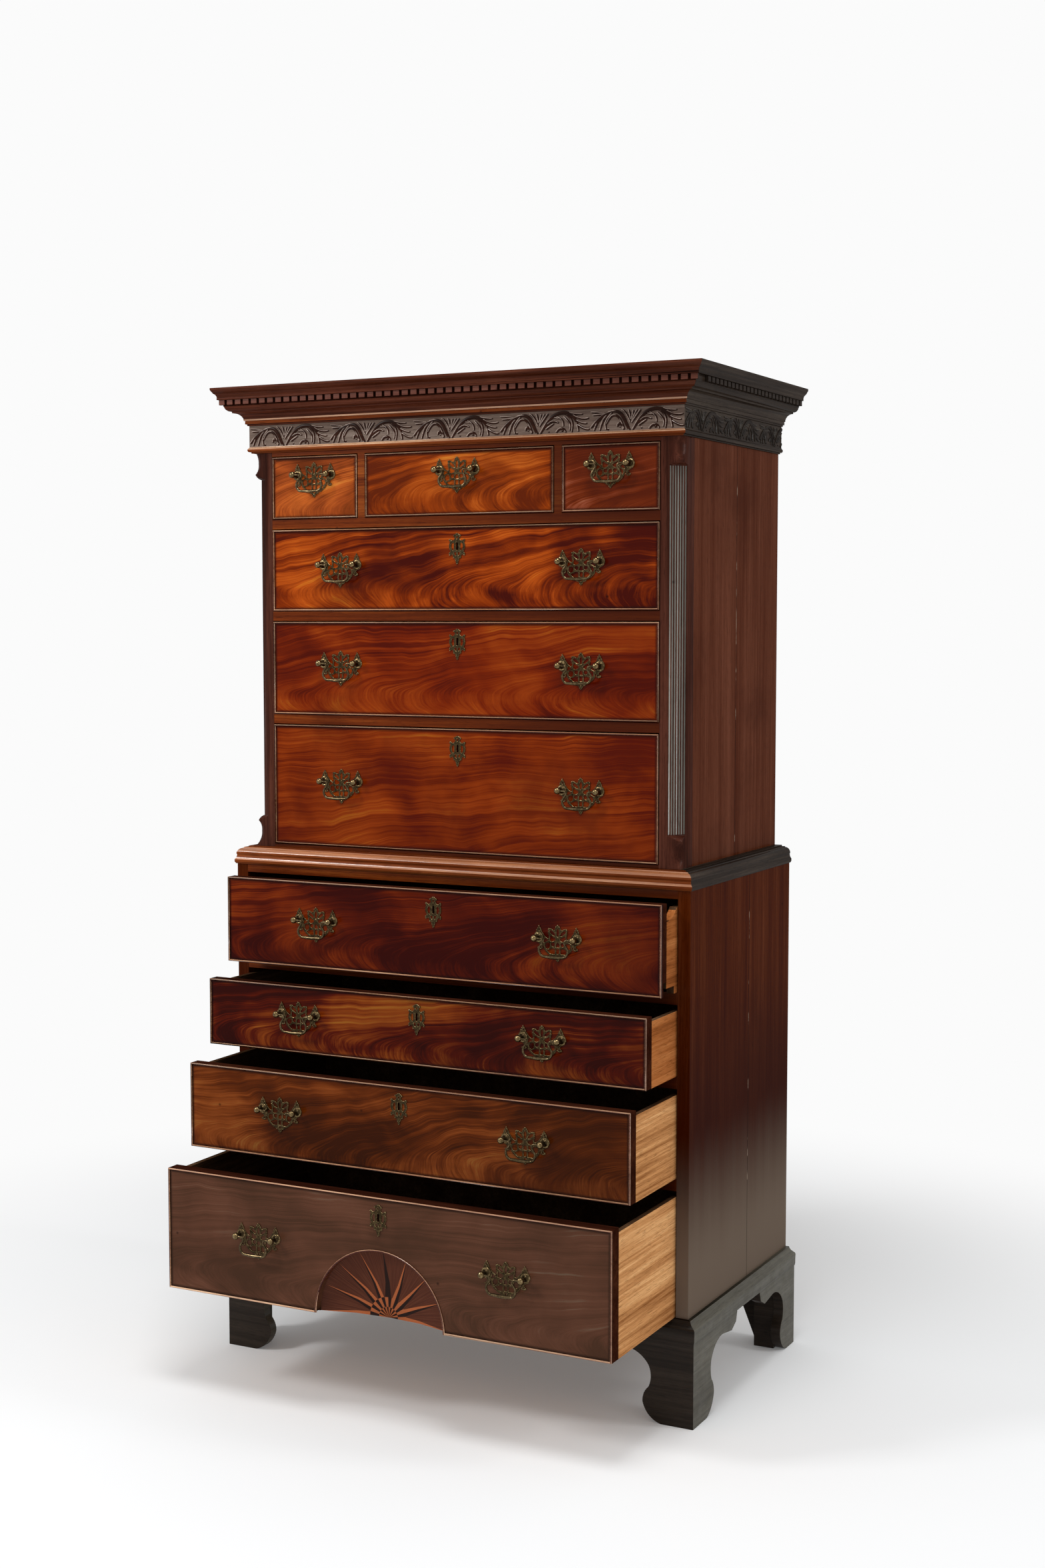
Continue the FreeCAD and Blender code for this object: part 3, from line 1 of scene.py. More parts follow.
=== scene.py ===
# %% [markdown]
# # A Georgian chest on chest
# The cabinet maker's part arrives as sixty plain nodes. This lesson dresses them: it softens
# their edges, cuts the brasses, carves the frieze, lays the veneer and polishes it all.
# Everything is in metres, with X to the right, Y to the back and Z up.

# %% Tools and the frame
import json
import math
from contextlib import contextmanager

import bmesh
import bpy
from mathutils import Matrix, Vector

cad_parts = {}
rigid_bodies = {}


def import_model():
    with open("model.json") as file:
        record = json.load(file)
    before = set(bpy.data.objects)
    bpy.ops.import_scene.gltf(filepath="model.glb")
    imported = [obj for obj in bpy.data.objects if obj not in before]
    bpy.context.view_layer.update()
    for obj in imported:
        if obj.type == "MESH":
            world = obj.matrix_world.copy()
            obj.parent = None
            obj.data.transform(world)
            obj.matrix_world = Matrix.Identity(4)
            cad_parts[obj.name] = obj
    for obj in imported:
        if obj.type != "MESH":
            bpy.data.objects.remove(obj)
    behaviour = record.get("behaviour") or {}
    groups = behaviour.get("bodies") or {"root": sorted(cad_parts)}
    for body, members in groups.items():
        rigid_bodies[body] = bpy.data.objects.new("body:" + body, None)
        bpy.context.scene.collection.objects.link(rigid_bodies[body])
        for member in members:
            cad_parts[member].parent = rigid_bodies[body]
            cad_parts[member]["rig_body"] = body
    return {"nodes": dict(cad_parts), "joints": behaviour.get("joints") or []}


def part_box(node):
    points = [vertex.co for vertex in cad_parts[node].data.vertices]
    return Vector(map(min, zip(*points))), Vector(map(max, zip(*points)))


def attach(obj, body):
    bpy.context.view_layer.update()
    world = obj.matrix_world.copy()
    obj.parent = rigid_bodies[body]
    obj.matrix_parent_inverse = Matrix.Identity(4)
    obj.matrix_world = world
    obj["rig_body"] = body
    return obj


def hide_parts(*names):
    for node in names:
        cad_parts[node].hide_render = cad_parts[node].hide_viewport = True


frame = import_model()
nodes = frame["nodes"]
joints = {joint["child"]: joint for joint in frame["joints"]}
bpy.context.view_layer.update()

scene = bpy.context.scene
scene.view_settings.view_transform = "Standard"

# %% [markdown]
# ## Handling objects as by hand
# Every operator works on what is selected, so one helper clears the selection and picks up a
# single object. The others apply what a hand would apply before it lets a piece go.

# %% Small helpers for objects
MM = 0.001


def hold(piece):
    """Select one object alone and make it the active one."""
    bpy.ops.object.select_all(action="DESELECT")
    bpy.context.view_layer.objects.active = piece
    piece.select_set(True)


@contextmanager
def editing(piece, select="SELECT", kind="VERT"):
    """Edit mode on one object, with everything or nothing selected, and object mode after it."""
    hold(piece)
    bpy.ops.object.mode_set(mode="EDIT")
    bpy.ops.mesh.select_mode(type=kind)
    bpy.ops.mesh.select_all(action=select)
    yield
    bpy.ops.object.mode_set(mode="OBJECT")


def finish_modifiers(piece):
    """Apply every modifier in turn."""
    hold(piece)
    for modifier in list(piece.modifiers):
        bpy.ops.object.modifier_apply(modifier=modifier.name)


def smooth_faces(piece, degrees=50, flats=True):
    """Shade round arrises smoothly while the flats stay flat."""
    hold(piece)
    bpy.ops.object.shade_smooth_by_angle(angle=math.radians(degrees))
    if not flats:
        return
    weighted = piece.modifiers.new("Flats", "WEIGHTED_NORMAL")
    weighted.keep_sharp = True
    finish_modifiers(piece)


def settle(piece):
    """Move the object's place and turn into its mesh, so that it sits at the origin."""
    hold(piece)
    bpy.ops.object.transform_apply(location=True, rotation=True, scale=True)
    return piece


def joined(name, pieces):
    """Join several meshes into one named object at the origin."""
    hold(pieces[0])
    for piece in pieces:
        piece.select_set(True)
    if len(pieces) > 1:
        bpy.ops.object.join()
    whole = bpy.context.object
    whole.name = name
    return settle(whole)


def placed(name, data):
    """A new object in the scene, from its mesh, curve, lamp or camera."""
    made = bpy.data.objects.new(name, data)
    scene.collection.objects.link(made)
    return made


def twin(model, name, place=Matrix()):
    """A copy of a model with its own mesh, moved by a matrix."""
    copy = placed(name, model.data.copy())
    copy.data.transform(place)
    return copy


def seat(piece, body, slot, *replaced):
    """Let a finished piece ride on its body, and stand for the plain nodes it covers."""
    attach(piece, body)
    if replaced:
        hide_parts(*replaced)


def moved(x, y, z):
    """The matrix of a move, in metres."""
    return Matrix.Translation((x, y, z))


def pearl(x, y, z, radius, rings):
    """A small sphere; its place and radius are in millimetres."""
    bpy.ops.object.select_all(action="DESELECT")
    bpy.ops.mesh.primitive_uv_sphere_add(segments=8, ring_count=rings, radius=radius * MM,
                                         location=(x * MM, y * MM, z * MM))
    return bpy.context.object


# %% [markdown]
# ## The view
# The camera stands to the right of the chest, at shoulder height, and looks a little down.

# %% Camera
camera = placed("Camera", bpy.data.cameras.new("Camera"))
camera.location = (1.9167, -3.5628, 1.4475)
camera.rotation_euler = (math.radians(90 - 4.37), 0.0, math.radians(27.08))
camera.data.lens = 48.63
camera.data.sensor_width = 36.0
camera.data.clip_end = 60.0
scene.camera = camera

# %% [markdown]
# ## Nodes in one line
# Materials are trees of nodes. These helpers add a node, fill its sockets and join it, so that
# each material below reads from top to bottom. A wire is a value on its way between nodes, and
# arithmetic on wires adds the Math nodes that it needs.

# %% Helpers for shader nodes
def sign(operation, turned=False):
    """One sign of arithmetic as a Math node; turned puts the wire last, as in 1 - wire."""
    def signed(wire, *others):
        values = (*others, wire) if turned else (wire, *others)
        return step(wire.tree, "Math", dict(enumerate(values)), operation=operation)[0]
    return signed


class Wire:
    """The value of an output socket."""

    def __init__(self, socket):
        self.socket = socket
        self.tree = socket.id_data

    __add__, __radd__ = sign("ADD"), sign("ADD", True)
    __sub__, __rsub__ = sign("SUBTRACT"), sign("SUBTRACT", True)
    __mul__, __truediv__, __pow__, __mod__ = (sign(name) for name in ("MULTIPLY", "DIVIDE", "POWER", "MODULO"))
    __lt__, __gt__, __abs__ = sign("LESS_THAN"), sign("GREATER_THAN"), sign("ABSOLUTE")
    __round__, __floor__, root = sign("ROUND"), sign("FLOOR"), sign("SQRT")
    least, most, arctan = sign("MINIMUM"), sign("MAXIMUM"), sign("ARCTAN2")


def wires(made):
    """The outputs of a node, by number and by name."""
    return {key: Wire(socket) for number, socket in enumerate(made.outputs) for key in (number, socket.name)}


def fill(made, inputs):
    """Join a wire to each input, or write its value."""
    for name, value in inputs.items():
        if isinstance(value, Wire):
            value.tree.links.new(value.socket, made.inputs[name])
        else:
            made.inputs[name].default_value = value


def step(tree, kind, inputs=None, **settings):
    """Add one shader node, with its own settings and its inputs; gives its wires."""
    made = tree.nodes.new("ShaderNode" + kind)
    for name, value in settings.items():
        setattr(made, name, value)
    fill(made, inputs or {})
    return wires(made)


def vectors(operation, first, second):
    """A Vector Math node on two vectors, or on a vector and the number that scales it."""
    inputs = {0: first, "Scale" if operation == "SCALE" else 1: second}
    return step(first.tree, "VectorMath", inputs, operation=operation)[0]


def colour_mix(factor, first, second):
    """A Mix node on two colours, RGB tuples or wires."""
    first, second = (c if isinstance(c, Wire) else (*c, 1.0) for c in (first, second))
    return step(factor.tree, "Mix", {0: factor, 6: first, 7: second}, data_type="RGBA")[2]


def span(value, low, high, to_low=0.0, to_high=1.0):
    """Map a range of a value smoothly on another range."""
    return step(value.tree, "MapRange", {0: value, 1: low, 2: high, 3: to_low, 4: to_high},
                interpolation_type="SMOOTHSTEP")[0]


def ramp(factor, *stops):
    """A colour ramp from (position, colour) stops."""
    made = factor.tree.nodes.new("ShaderNodeValToRGB")
    fill(made, {0: factor})
    keys = made.color_ramp.elements
    while len(keys) < len(stops):
        keys.new(0.5)
    for key, (place, colour) in zip(keys, stops):
        key.position = place
        key.color = (*colour, 1.0)
    return Wire(made.outputs[0])


def noise(vector, scale, detail=3.0, rough=0.55, warp=0.0):
    """A Noise Texture; wire 0 is its value and "Color" is three values at once."""
    return step(vector.tree, "TexNoise", {"Vector": vector, "Scale": scale, "Detail": detail,
                                          "Roughness": rough, "Distortion": warp})


def stretch(vector, x, y, z):
    """Scale the coordinates unevenly, which draws a pattern out along its smallest number."""
    return step(vector.tree, "Mapping", {"Vector": vector, "Scale": (x, y, z)})[0]


def shade_of(colour, times):
    """A colour made darker or lighter."""
    return tuple(part * times for part in colour)


def mixed(*colours):
    """Colours that are written in thousandths, as the shader takes them."""
    return [tuple(part / 1000 for part in colour) for colour in colours]


def new_group(name, inputs, outputs):
    """A node group with named sockets; inputs give their start values."""
    group = bpy.data.node_groups.new(name, "ShaderNodeTree")
    for label, start in inputs.items():
        kind = "NodeSocketVector" if start is None else "NodeSocketFloat"
        socket = group.interface.new_socket(label, in_out="INPUT", socket_type=kind)
        if start is not None:
            socket.default_value = start
    for label in outputs:
        group.interface.new_socket(label, in_out="OUTPUT", socket_type="NodeSocketFloat")
    return group, wires(group.nodes.new("NodeGroupInput")), group.nodes.new("NodeGroupOutput")


def use(group, vector, **inputs):
    """Place a node group in a material with its own values."""
    made = vector.tree.nodes.new("ShaderNodeGroup")
    made.node_tree = group
    fill(made, {"Vector": vector, **inputs})
    return wires(made)


def new_material(name, shine=0.1, coat=0.05, coat_rough=0.25):
    """A material with a Principled surface; gives the tree, the surface and the coordinates."""
    material = bpy.data.materials.new(name)
    material.use_nodes = True
    tree = material.node_tree
    surface = tree.nodes["Principled BSDF"]
    fill(surface, {"Specular IOR Level": shine, "Coat Weight": coat, "Coat Roughness": coat_rough})
    return material, tree, surface, step(tree, "TexCoord")["Object"]


def polish(surface, colour, haze, dullest, dullness, relief, depth):
    """Colour, a polish that is duller in places, and a fine relief."""
    bump = step(colour.tree, "Bump", {"Height": relief, "Strength": depth, "Distance": 0.4 * MM})[0]
    fill(surface, {"Base Color": colour, "Roughness": span(haze, 0.3, 0.75, dullest, dullness), "Normal": bump})


# %% [markdown]
# ## Timber
# Straight mahogany shows three things at three sizes: broad bands where the tree grew at
# different speeds, fine streaks along the grain, and short dark pores. The group holds all
# three and assumes that the grain runs along Z; a material turns the coordinates for a rail.

# %% Grain group
grain, given, result = new_group("Straight grain", {"Vector": None}, ("Bands", "Streaks", "Pores"))
wander = noise(stretch(given["Vector"], 3.0, 3.0, 0.8), 1.0, 2.0)["Color"]
run = vectors("ADD", given["Vector"], vectors("SCALE", wander, 0.02))
fill(result, {"Bands": noise(stretch(run, 22, 22, 0.9), 1.0, 3.0)[0],
              "Streaks": noise(stretch(run, 160, 160, 3.2), 1.0, 5.0, 0.7)[0],
              "Pores": span(noise(stretch(run, 1100, 1100, 45), 1.0, 2.0)[0], 0.56, 0.68)})

# %% [markdown]
# ## Flame figure
# A veneer cut where a branch leaves the trunk shows nested plumes. Their bands lie along
# curves that reach far to the right above one level and curl back below it, so the group
# bends the coordinates along such curves and draws noise across them.

# %% Flame group
flame, given, result = new_group(
    "Flame figure",
    {"Vector": None, "Level": 0.0, "Reach": 7.0, "Curl": 9.0, "Width": 14.0, "Warp": 0.05},
    ("Blotch", "Streak", "Ripple", "Pores"))
sway = vectors("SUBTRACT", noise(given["Vector"], 4.5, 3.0, 0.5)["Color"], (0.5, 0.5, 0.5))
bent = vectors("ADD", given["Vector"], vectors("SCALE", sway, given["Warp"]))
parts = step(flame, "SeparateXYZ", {0: bent})
height = parts["Z"] - given["Level"]
# Near the level the curve is round, because a root of the square never comes to a point.
away = (height * height + 0.0002).root() - 0.0141
pull = step(flame, "Mix", {0: span(height, -0.02, 0.02), 2: given["Curl"], 3: given["Reach"]})[0]
across = parts["X"] - away ** 1.5 * pull


def figure_noise(across_scale, along_scale, seed, detail, rough):
    """Noise drawn out along the bent grain lines."""
    spot = step(flame, "CombineXYZ", {0: across * across_scale, 1: height * along_scale, 2: seed})[0]
    return noise(spot, 1.0, detail, rough)[0]


fill(result, {"Blotch": figure_noise(given["Width"], 5.0, 0.0, 3.0, 0.5),
              "Streak": figure_noise(26.0, 6.0, 4.0, 3.0, 0.5),
              "Ripple": figure_noise(170.0, 22.0, 3.0, 4.0, 0.65),
              "Pores": span(figure_noise(1300.0, 160.0, 7.0, 1.0, 0.5), 0.6, 0.72)})

# %% [markdown]
# ## Age
# Two and a half centuries leave small bruises, darker patches where polish and dirt have
# settled, and a polish that is duller in some places than in others.

# %% Age group
age, given, result = new_group("Age", {"Vector": None}, ("Patches", "Bruises", "Haze"))
cells = step(age, "TexVoronoi", {"Vector": given["Vector"], "Scale": 16.0, "Randomness": 1.0})
chosen = step(age, "SeparateColor", {0: cells["Color"]})[0] > 0.62
fill(result, {"Patches": noise(given["Vector"], 5.0, 4.0, 0.6)[0],
              "Bruises": span(cells["Distance"], 0.0, 0.07, 1.0, 0.0) * chosen,
              "Haze": noise(given["Vector"], 38.0, 5.0, 0.7)[0]})


# %% Mahogany and oak with a straight grain
def timber(name, dark, middle, light, turn=(0.0, 0.0, 0.0), rough=0.34, shine=0.0, coat=0.12, depth=0.10,
           painted_sheen_level=None, painted_end_shade=0.0, joint=None):
    """Straight-grained polished wood; turn lays the grain along another axis. The sheen level is a
    height: below it a painted sheen, the floor's reflection, turns the wood grey, and just above
    it painted shade makes the wood dark. The end shade paints shade on the right-hand end, and
    joint is the place of an open joint between two boards."""
    material, tree, surface, place = new_material(name, shine, coat)
    dark, middle, light = mixed(dark, middle, light)
    wood = use(grain, step(tree, "Mapping", {"Vector": place, "Rotation": turn})[0])
    years = use(age, place)
    base = ramp(wood["Bands"] * 0.5 + wood["Streaks"] * 0.5, (0.36, dark), (0.50, middle), (0.64, light))
    pored = colour_mix(wood["Pores"] * 0.55, base, shade_of(dark, 0.4))
    patched = colour_mix(span(years["Patches"], 0.5, 0.8, 0.0, 0.5), pored, shade_of(dark, 0.7))
    wear_and_painted_light = colour_mix(years["Bruises"] * 0.8, patched, shade_of(dark, 0.2))
    spot = step(tree, "SeparateXYZ", {0: place})
    # A grey painted sheen below the level, the floor's reflection, and painted shade just above it.
    if painted_sheen_level:
        uneven = spot["Z"] + wood["Bands"] * 0.08
        shaded = colour_mix(span(uneven, painted_sheen_level + 0.12, painted_sheen_level + 0.50, 0.8, 0.0), wear_and_painted_light, shade_of(dark, 0.7))
        wear_and_painted_light = colour_mix(span(uneven, painted_sheen_level - 0.12, painted_sheen_level + 0.16, 0.9, 0.0), shaded, (0.145, 0.108, 0.080))
    # Painted shade darkens the right-hand end.
    if painted_end_shade:
        wear_and_painted_light = colour_mix(span(spot["X"], -0.30, 0.40, 0.0, painted_end_shade), wear_and_painted_light, shade_of(dark, 0.7))
    if joint:
        chips = span(noise(stretch(place, 90.0, 90.0, 26.0), 1.0, 3.0)[0], 0.58, 0.66)
        gap = colour_mix(chips, shade_of(dark, 0.1), (0.30, 0.23, 0.17))
        wear_and_painted_light = colour_mix(span(abs(spot["Y"] - joint), 0.4 * MM, 1.2 * MM, 0.95, 0.0), wear_and_painted_light, gap)
    # The colour holds real bruises together with the painted sheen and shade.
    polish(surface, wear_and_painted_light, years["Haze"], rough - 0.08, rough + 0.14, wood["Streaks"] - wood["Pores"], depth)
    return material


ALONG_X = (0.0, math.radians(90), 0.0)
ALONG_Y = (math.radians(90), 0.0, 0.0)

side_wood = timber("Mahogany sides", (56, 10, 2), (90, 24, 10), (130, 40, 20), coat=0.05, joint=0.1843)
# The lower sides carry a grey painted sheen near the floor, with painted shade above it.
lower_side_wood = timber("Mahogany lower sides", (32, 3, 0), (60, 10, 1), (95, 22, 6), coat=0.05, painted_sheen_level=0.42,
                         joint=0.1843)
# Rails and mouldings take painted shade on their right-hand ends.
rail_wood = timber("Mahogany rails", (50, 7, 1), (132, 23, 3), (250, 60, 9), ALONG_X, painted_end_shade=0.85)
mould_wood = timber("Mahogany waist", (80, 12, 2), (200, 46, 10), (340, 105, 30), ALONG_X, rough=0.2, coat=0.06,
                    painted_end_shade=0.6)
cornice_wood = timber("Mahogany cornice", (28, 6, 2), (82, 19, 8), (160, 50, 26), ALONG_X, rough=0.22,
                      coat=0.12, painted_end_shade=0.35)
dentil_wood = timber("Mahogany dentils", (70, 20, 12), (125, 44, 30), (190, 78, 56), ALONG_X, rough=0.25,
                     coat=0.12, painted_end_shade=0.3)
# A painted highlight for the faces of arrises and rounds that look up and to the front.
painted_highlight_wood = timber("Mahogany highlights", (130, 45, 22), (280, 130, 80), (480, 300, 210), ALONG_X, rough=0.2,
                   shine=0.3, coat=0.8)
# The returns of the mouldings, in painted shade.
shaded_return_wood = timber("Mahogany returns painted shade", (10, 6, 4), (26, 17, 12), (60, 44, 32), ALONG_Y, rough=0.24, coat=0.12)
left_wood = timber("Mahogany left returns", (36, 8, 3), (90, 24, 10), (165, 55, 28), ALONG_Y, rough=0.22, coat=0.12)
# A painted highlight for the waist moulding's upper rounds.
waist_highlight_wood = timber("Mahogany waist painted highlight", (190, 60, 20), (400, 155, 65), (660, 340, 180), ALONG_X, rough=0.2,
                     shine=0.2, coat=0.5, painted_end_shade=0.5)
foot_wood = timber("Mahogany feet", (10, 7, 5), (20, 14, 10), (36, 26, 19), ALONG_X, rough=0.4, shine=0.05,
                   coat=0.1)
# A grey painted sheen for the sides of the feet and the returns of the base moulding.
foot_side_sheen_wood = timber("Mahogany feet sides painted sheen", (40, 34, 25), (75, 68, 50), (110, 100, 78), ALONG_Y, rough=0.4,
                        shine=0.05, coat=0.15)
bead_wood = timber("Mahogany beads", (30, 4, 2), (65, 10, 4), (120, 24, 10), ALONG_X, rough=0.2, shine=0.1,
                   coat=0.3)
# A pale painted highlight for bead noses and narrow upper edges.
pale_highlight_wood = timber("Mahogany pale painted highlight", (270, 112, 52), (540, 290, 155), (820, 540, 340), ALONG_X, rough=0.22,
                   shine=0.3, coat=0.8, painted_end_shade=0.5)
inside_wood = timber("Mahogany inside", (16, 4, 2), (30, 8, 4), (55, 16, 7), ALONG_X, rough=0.55, coat=0.0)
oak_wood = timber("Oak lining", (260, 95, 28), (560, 265, 100), (820, 470, 210), ALONG_Y, rough=0.7, coat=0.0,
                  depth=0.35)
darker_oak = timber("Oak lining darker", (160, 45, 11), (330, 105, 28), (500, 190, 60), ALONG_Y, rough=0.7,
                  coat=0.0, depth=0.35)
oak_inside_shade = timber("Oak inside painted shade", (30, 14, 7), (60, 30, 15), (110, 60, 32), ALONG_Y, rough=0.75, coat=0.0,
                    depth=0.35)
oak_board = timber("Oak boards", (120, 55, 22), (250, 130, 55), (420, 250, 120), rough=0.75, coat=0.0, depth=0.35)
print("timbers", [m.name for m in bpy.data.materials])

# %% [markdown]
# ## Veneers
# Each front has a veneer of its own, so the figure's level, reach and colours are set for
# each. A dark line is painted round the field along the cockbead: painted shade in that corner,
# and the dirt that gathers there.


# %% Figured fronts
def figured(name, box, shift, figure, shades, painted_end_gloom=0.0, rough=0.32):
    """Flame veneer for one drawer front, from its box, the figure's numbers and three shades."""
    material, tree, surface, place = new_material(name, 0.0, 0.12, 0.2)
    low, high = box
    centre = (low + high) / 2
    half = (high - low) / 2
    local = step(tree, "Mapping", {"Vector": place, "Location": (shift - centre.x, 0.0, -centre.z)})[0]
    wood = use(flame, local, **figure)
    years = use(age, place)
    dark, middle, light = mixed(*shades)
    clouds = noise(stretch(local, 5.0, 5.0, 9.0), 1.0, 3.0, 0.5, 0.4)[0]
    gaps = noise(stretch(local, 9.0, 9.0, 17.0), 1.0, 2.0)[0]
    weights = {"Blotch": 0.60, "Streak": 0.34, "Ripple": 0.50}
    plumes = sum((wood[label] - 0.5) * weight for label, weight in weights.items())
    # The figure comes and goes over the leaf: strong where the gaps noise is high.
    tone = plumes * span(gaps, 0.32, 0.66, 0.65, 1.25) + span(clouds, 0.25, 0.75, 0.30, 0.67)
    gold = (light[0] * 1.35, light[1] * 2.5, light[2] * 3.0)
    base = ramp(tone, (0.34, dark), (0.50, middle), (0.66, light), (0.82, gold))
    pored = colour_mix(wood["Pores"] * 0.35, base, shade_of(dark, 0.4))
    patched = colour_mix(span(years["Patches"], 0.48, 0.75, 0.0, 0.55), pored, shade_of(dark, 0.8))
    spot = step(tree, "SeparateXYZ", {0: place})
    # Painted shade darkens the right-hand end.
    painted_end_gloomy = colour_mix(span(spot["X"], centre.x + 0.05, high.x, 0.0, painted_end_gloom), patched, shade_of(dark, 0.9))
    # A dark band along the cockbead: painted shade in the corner, with dirt.
    side = half.x - abs(spot["X"] - centre.x)
    ends = half.z - abs(spot["Z"] - centre.z)
    cockbead_shade_and_dirt = colour_mix(span(side.least(ends), 4.2 * MM, 9.5 * MM, 0.8, 0.0), painted_end_gloomy, shade_of(dark, 0.3))
    wear_and_painted_light = colour_mix(years["Bruises"] * 0.85, cockbead_shade_and_dirt, shade_of(dark, 0.2))
    polish(surface, wear_and_painted_light, years["Haze"], rough - 0.07, rough + 0.12, wood["Ripple"] - wood["Pores"], 0.06)
    return material, tree, surface, place, wear_and_painted_light


# %% [markdown]
# ## Old brass
# Lacquer and dirt have turned the flat faces olive brown, while every edge that a duster
# reaches stays bright. Two finishes give that: one for hollows and flats, one for edges. The
# bails, which hands rub all over, have a third between the two.

# %% Brass
def brass(name, dark, middle, light, rough):
    """Cast brass at one state of wear."""
    material, _, surface, place = new_material(name, 0.5, 0.0)
    dark, middle, light = mixed(dark, middle, light)
    years = use(age, stretch(place, 6.0, 6.0, 6.0))
    fill(surface, {"Base Color": ramp(years["Haze"], (0.32, dark), (0.5, middle), (0.7, light)), "Metallic": 0.92,
                   "Roughness": span(years["Patches"], 0.3, 0.7, rough - 0.06, rough + 0.1)})
    return material


dull_brass = brass("Brass patina", (13, 8, 3), (36, 23, 9), (92, 62, 25), 0.28)
bright_brass = brass("Brass rubbed", (55, 35, 14), (130, 88, 38), (340, 250, 125), 0.18)
bail_brass = brass("Brass bails", (30, 20, 9), (70, 48, 22), (170, 122, 62), 0.16)

# %% [markdown]
# ## Worn arrises
# A hand-planed board never ends in a knife edge. Each plain node is copied, its triangles are
# joined into whole faces again, and every arris is rounded by a fraction of a millimetre, so
# that it catches the light as polished wood does.

# %% Dressing the plain nodes
def whole_faces(node):
    """A copy of a node's mesh with its loose triangles merged into whole faces."""
    look = twin(nodes[node], node + "_polished")
    with editing(look):
        bpy.ops.mesh.remove_doubles(threshold=0.02 * MM)
        bpy.ops.mesh.dissolve_limited(angle_limit=math.radians(0.4))
    return look


def soften(look, arris):
    """Round every arris of a piece."""
    rounding = look.modifiers.new("Arris", "BEVEL")
    rounding.width = arris * MM
    rounding.segments = 2
    rounding.limit_method = "ANGLE"
    rounding.angle_limit = math.radians(32)
    finish_modifiers(look)


def lay(look, material, *more):
    """Give a piece its materials; each later one comes with a test on a face's centre and normal."""
    look.data.materials.clear()
    look.data.materials.append(material)
    for number, (other, test) in enumerate(more, 1):
        look.data.materials.append(other)
        for face in look.data.polygons:
            if test(face.center, face.normal):
                face.material_index = number


def keep_inside(look, node):
    """A bevel may push a corner out; nothing may leave the node's own box."""
    low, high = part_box(node)
    for spot in look.data.vertices:
        spot.co = [min(max(here, least), most) for here, least, most in zip(spot.co, low, high)]


def dress(node, material, slot, arris=0.5, *more):
    """A softened copy of a node's solids, in their place, in a better finish."""
    look = whole_faces(node)
    if arris:
        soften(look, arris)
    keep_inside(look, node)
    lay(look, material, *more)
    smooth_faces(look, 40, arris > 0)
    seat(look, nodes[node]["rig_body"], slot, node)


# %% The case
for node in ("lower_sides", "upper_sides"):
    dress(node, lower_side_wood if "lower" in node else side_wood, "mahogany_case")
for node in ("lower_rails", "upper_rails"):
    dress(node, rail_wood, "mahogany_case")


def on_return(node, side=0):
    """A test for the faces of a moulding's returns, past the mitres at its front corners: of the
    right one (side 1), the left one (-1) or both (0)."""
    low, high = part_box(node)
    reach = (high.x - low.x) / 2
    return lambda spot, normal: abs(spot.x) - reach > low.y - spot.y + 0.1 * MM and side * spot.x >= 0


def crest(spot, normal):
    """A test for the narrow faces of an arris or a round that look up and to the front, which take a painted
    highlight.
    """
    return normal.z > 0.35 and normal.y < -0.25


def returns(node):
    """Painted shade on the returns: a dark copy of the wood on the right one, a lighter copy on the left."""
    return (shaded_return_wood, on_return(node, 1)), (left_wood, on_return(node, -1))


# Heights on the cornice: the course of dentils, with painted shade in the gaps between them,
# the lowest member and the painted highlight on its edge. Crests take a painted highlight and
# the returns painted shade.
DENTILS_FROM, DENTILS_TO, DENTIL_BACK = 1.867, 1.878, -0.1285
MEMBER_FROM, EDGE_FROM, EDGE_TO = 1.833, 1.8384, 1.8412
dress("cornice", cornice_wood, "mahogany_case", 0.7, (painted_highlight_wood, crest),
      (dentil_wood, lambda spot, normal: DENTILS_FROM < spot.z < DENTILS_TO and normal.y < -0.9
       and spot.y < DENTIL_BACK),
      (inside_wood, lambda spot, normal: DENTILS_FROM + 0.4 * MM < spot.z < DENTILS_TO - 0.9 * MM
       and spot.y > DENTIL_BACK),
      (mould_wood, lambda spot, normal: MEMBER_FROM < spot.z < EDGE_TO and normal.y < -0.5),
      (pale_highlight_wood, lambda spot, normal: EDGE_FROM < spot.z < EDGE_TO), *returns("cornice"))
# The waist moulding: a painted highlight on its upper rounds and painted shade on its returns.
dress("waist_moulding", mould_wood, "mahogany_case", 0.6, (waist_highlight_wood, crest), *returns("waist_moulding"))
# Feet and base moulding: a grey painted sheen on their sides and returns.
dress("base_moulding", foot_wood, "mahogany_case", 0.6, (foot_side_sheen_wood, on_return("base_moulding")))
dress("bracket_feet", foot_wood, "mahogany_case", 0.6, (foot_side_sheen_wood, lambda spot, normal: abs(normal.x) > 0.7))
for node in ("lower_back", "upper_back", "lower_dustboards", "upper_dustboards"):
    dress(node, oak_board, "oak", 0.4)

# %% [markdown]
# ## Drawer fronts
# The veneered field lies inside a cockbead, a thin strip with a round nose that stands proud
# all round. Its two front edges are bevelled in edit mode until they meet in a round.


# %% Fronts with their cockbeads
NICHE_RADIUS = 0.1325
# How far behind a front's foremost line lie the nose of a bead, the whole bead and the field.
NOSE, BEAD, FIELD = 1.5 * MM, 2.5 * MM, 6 * MM


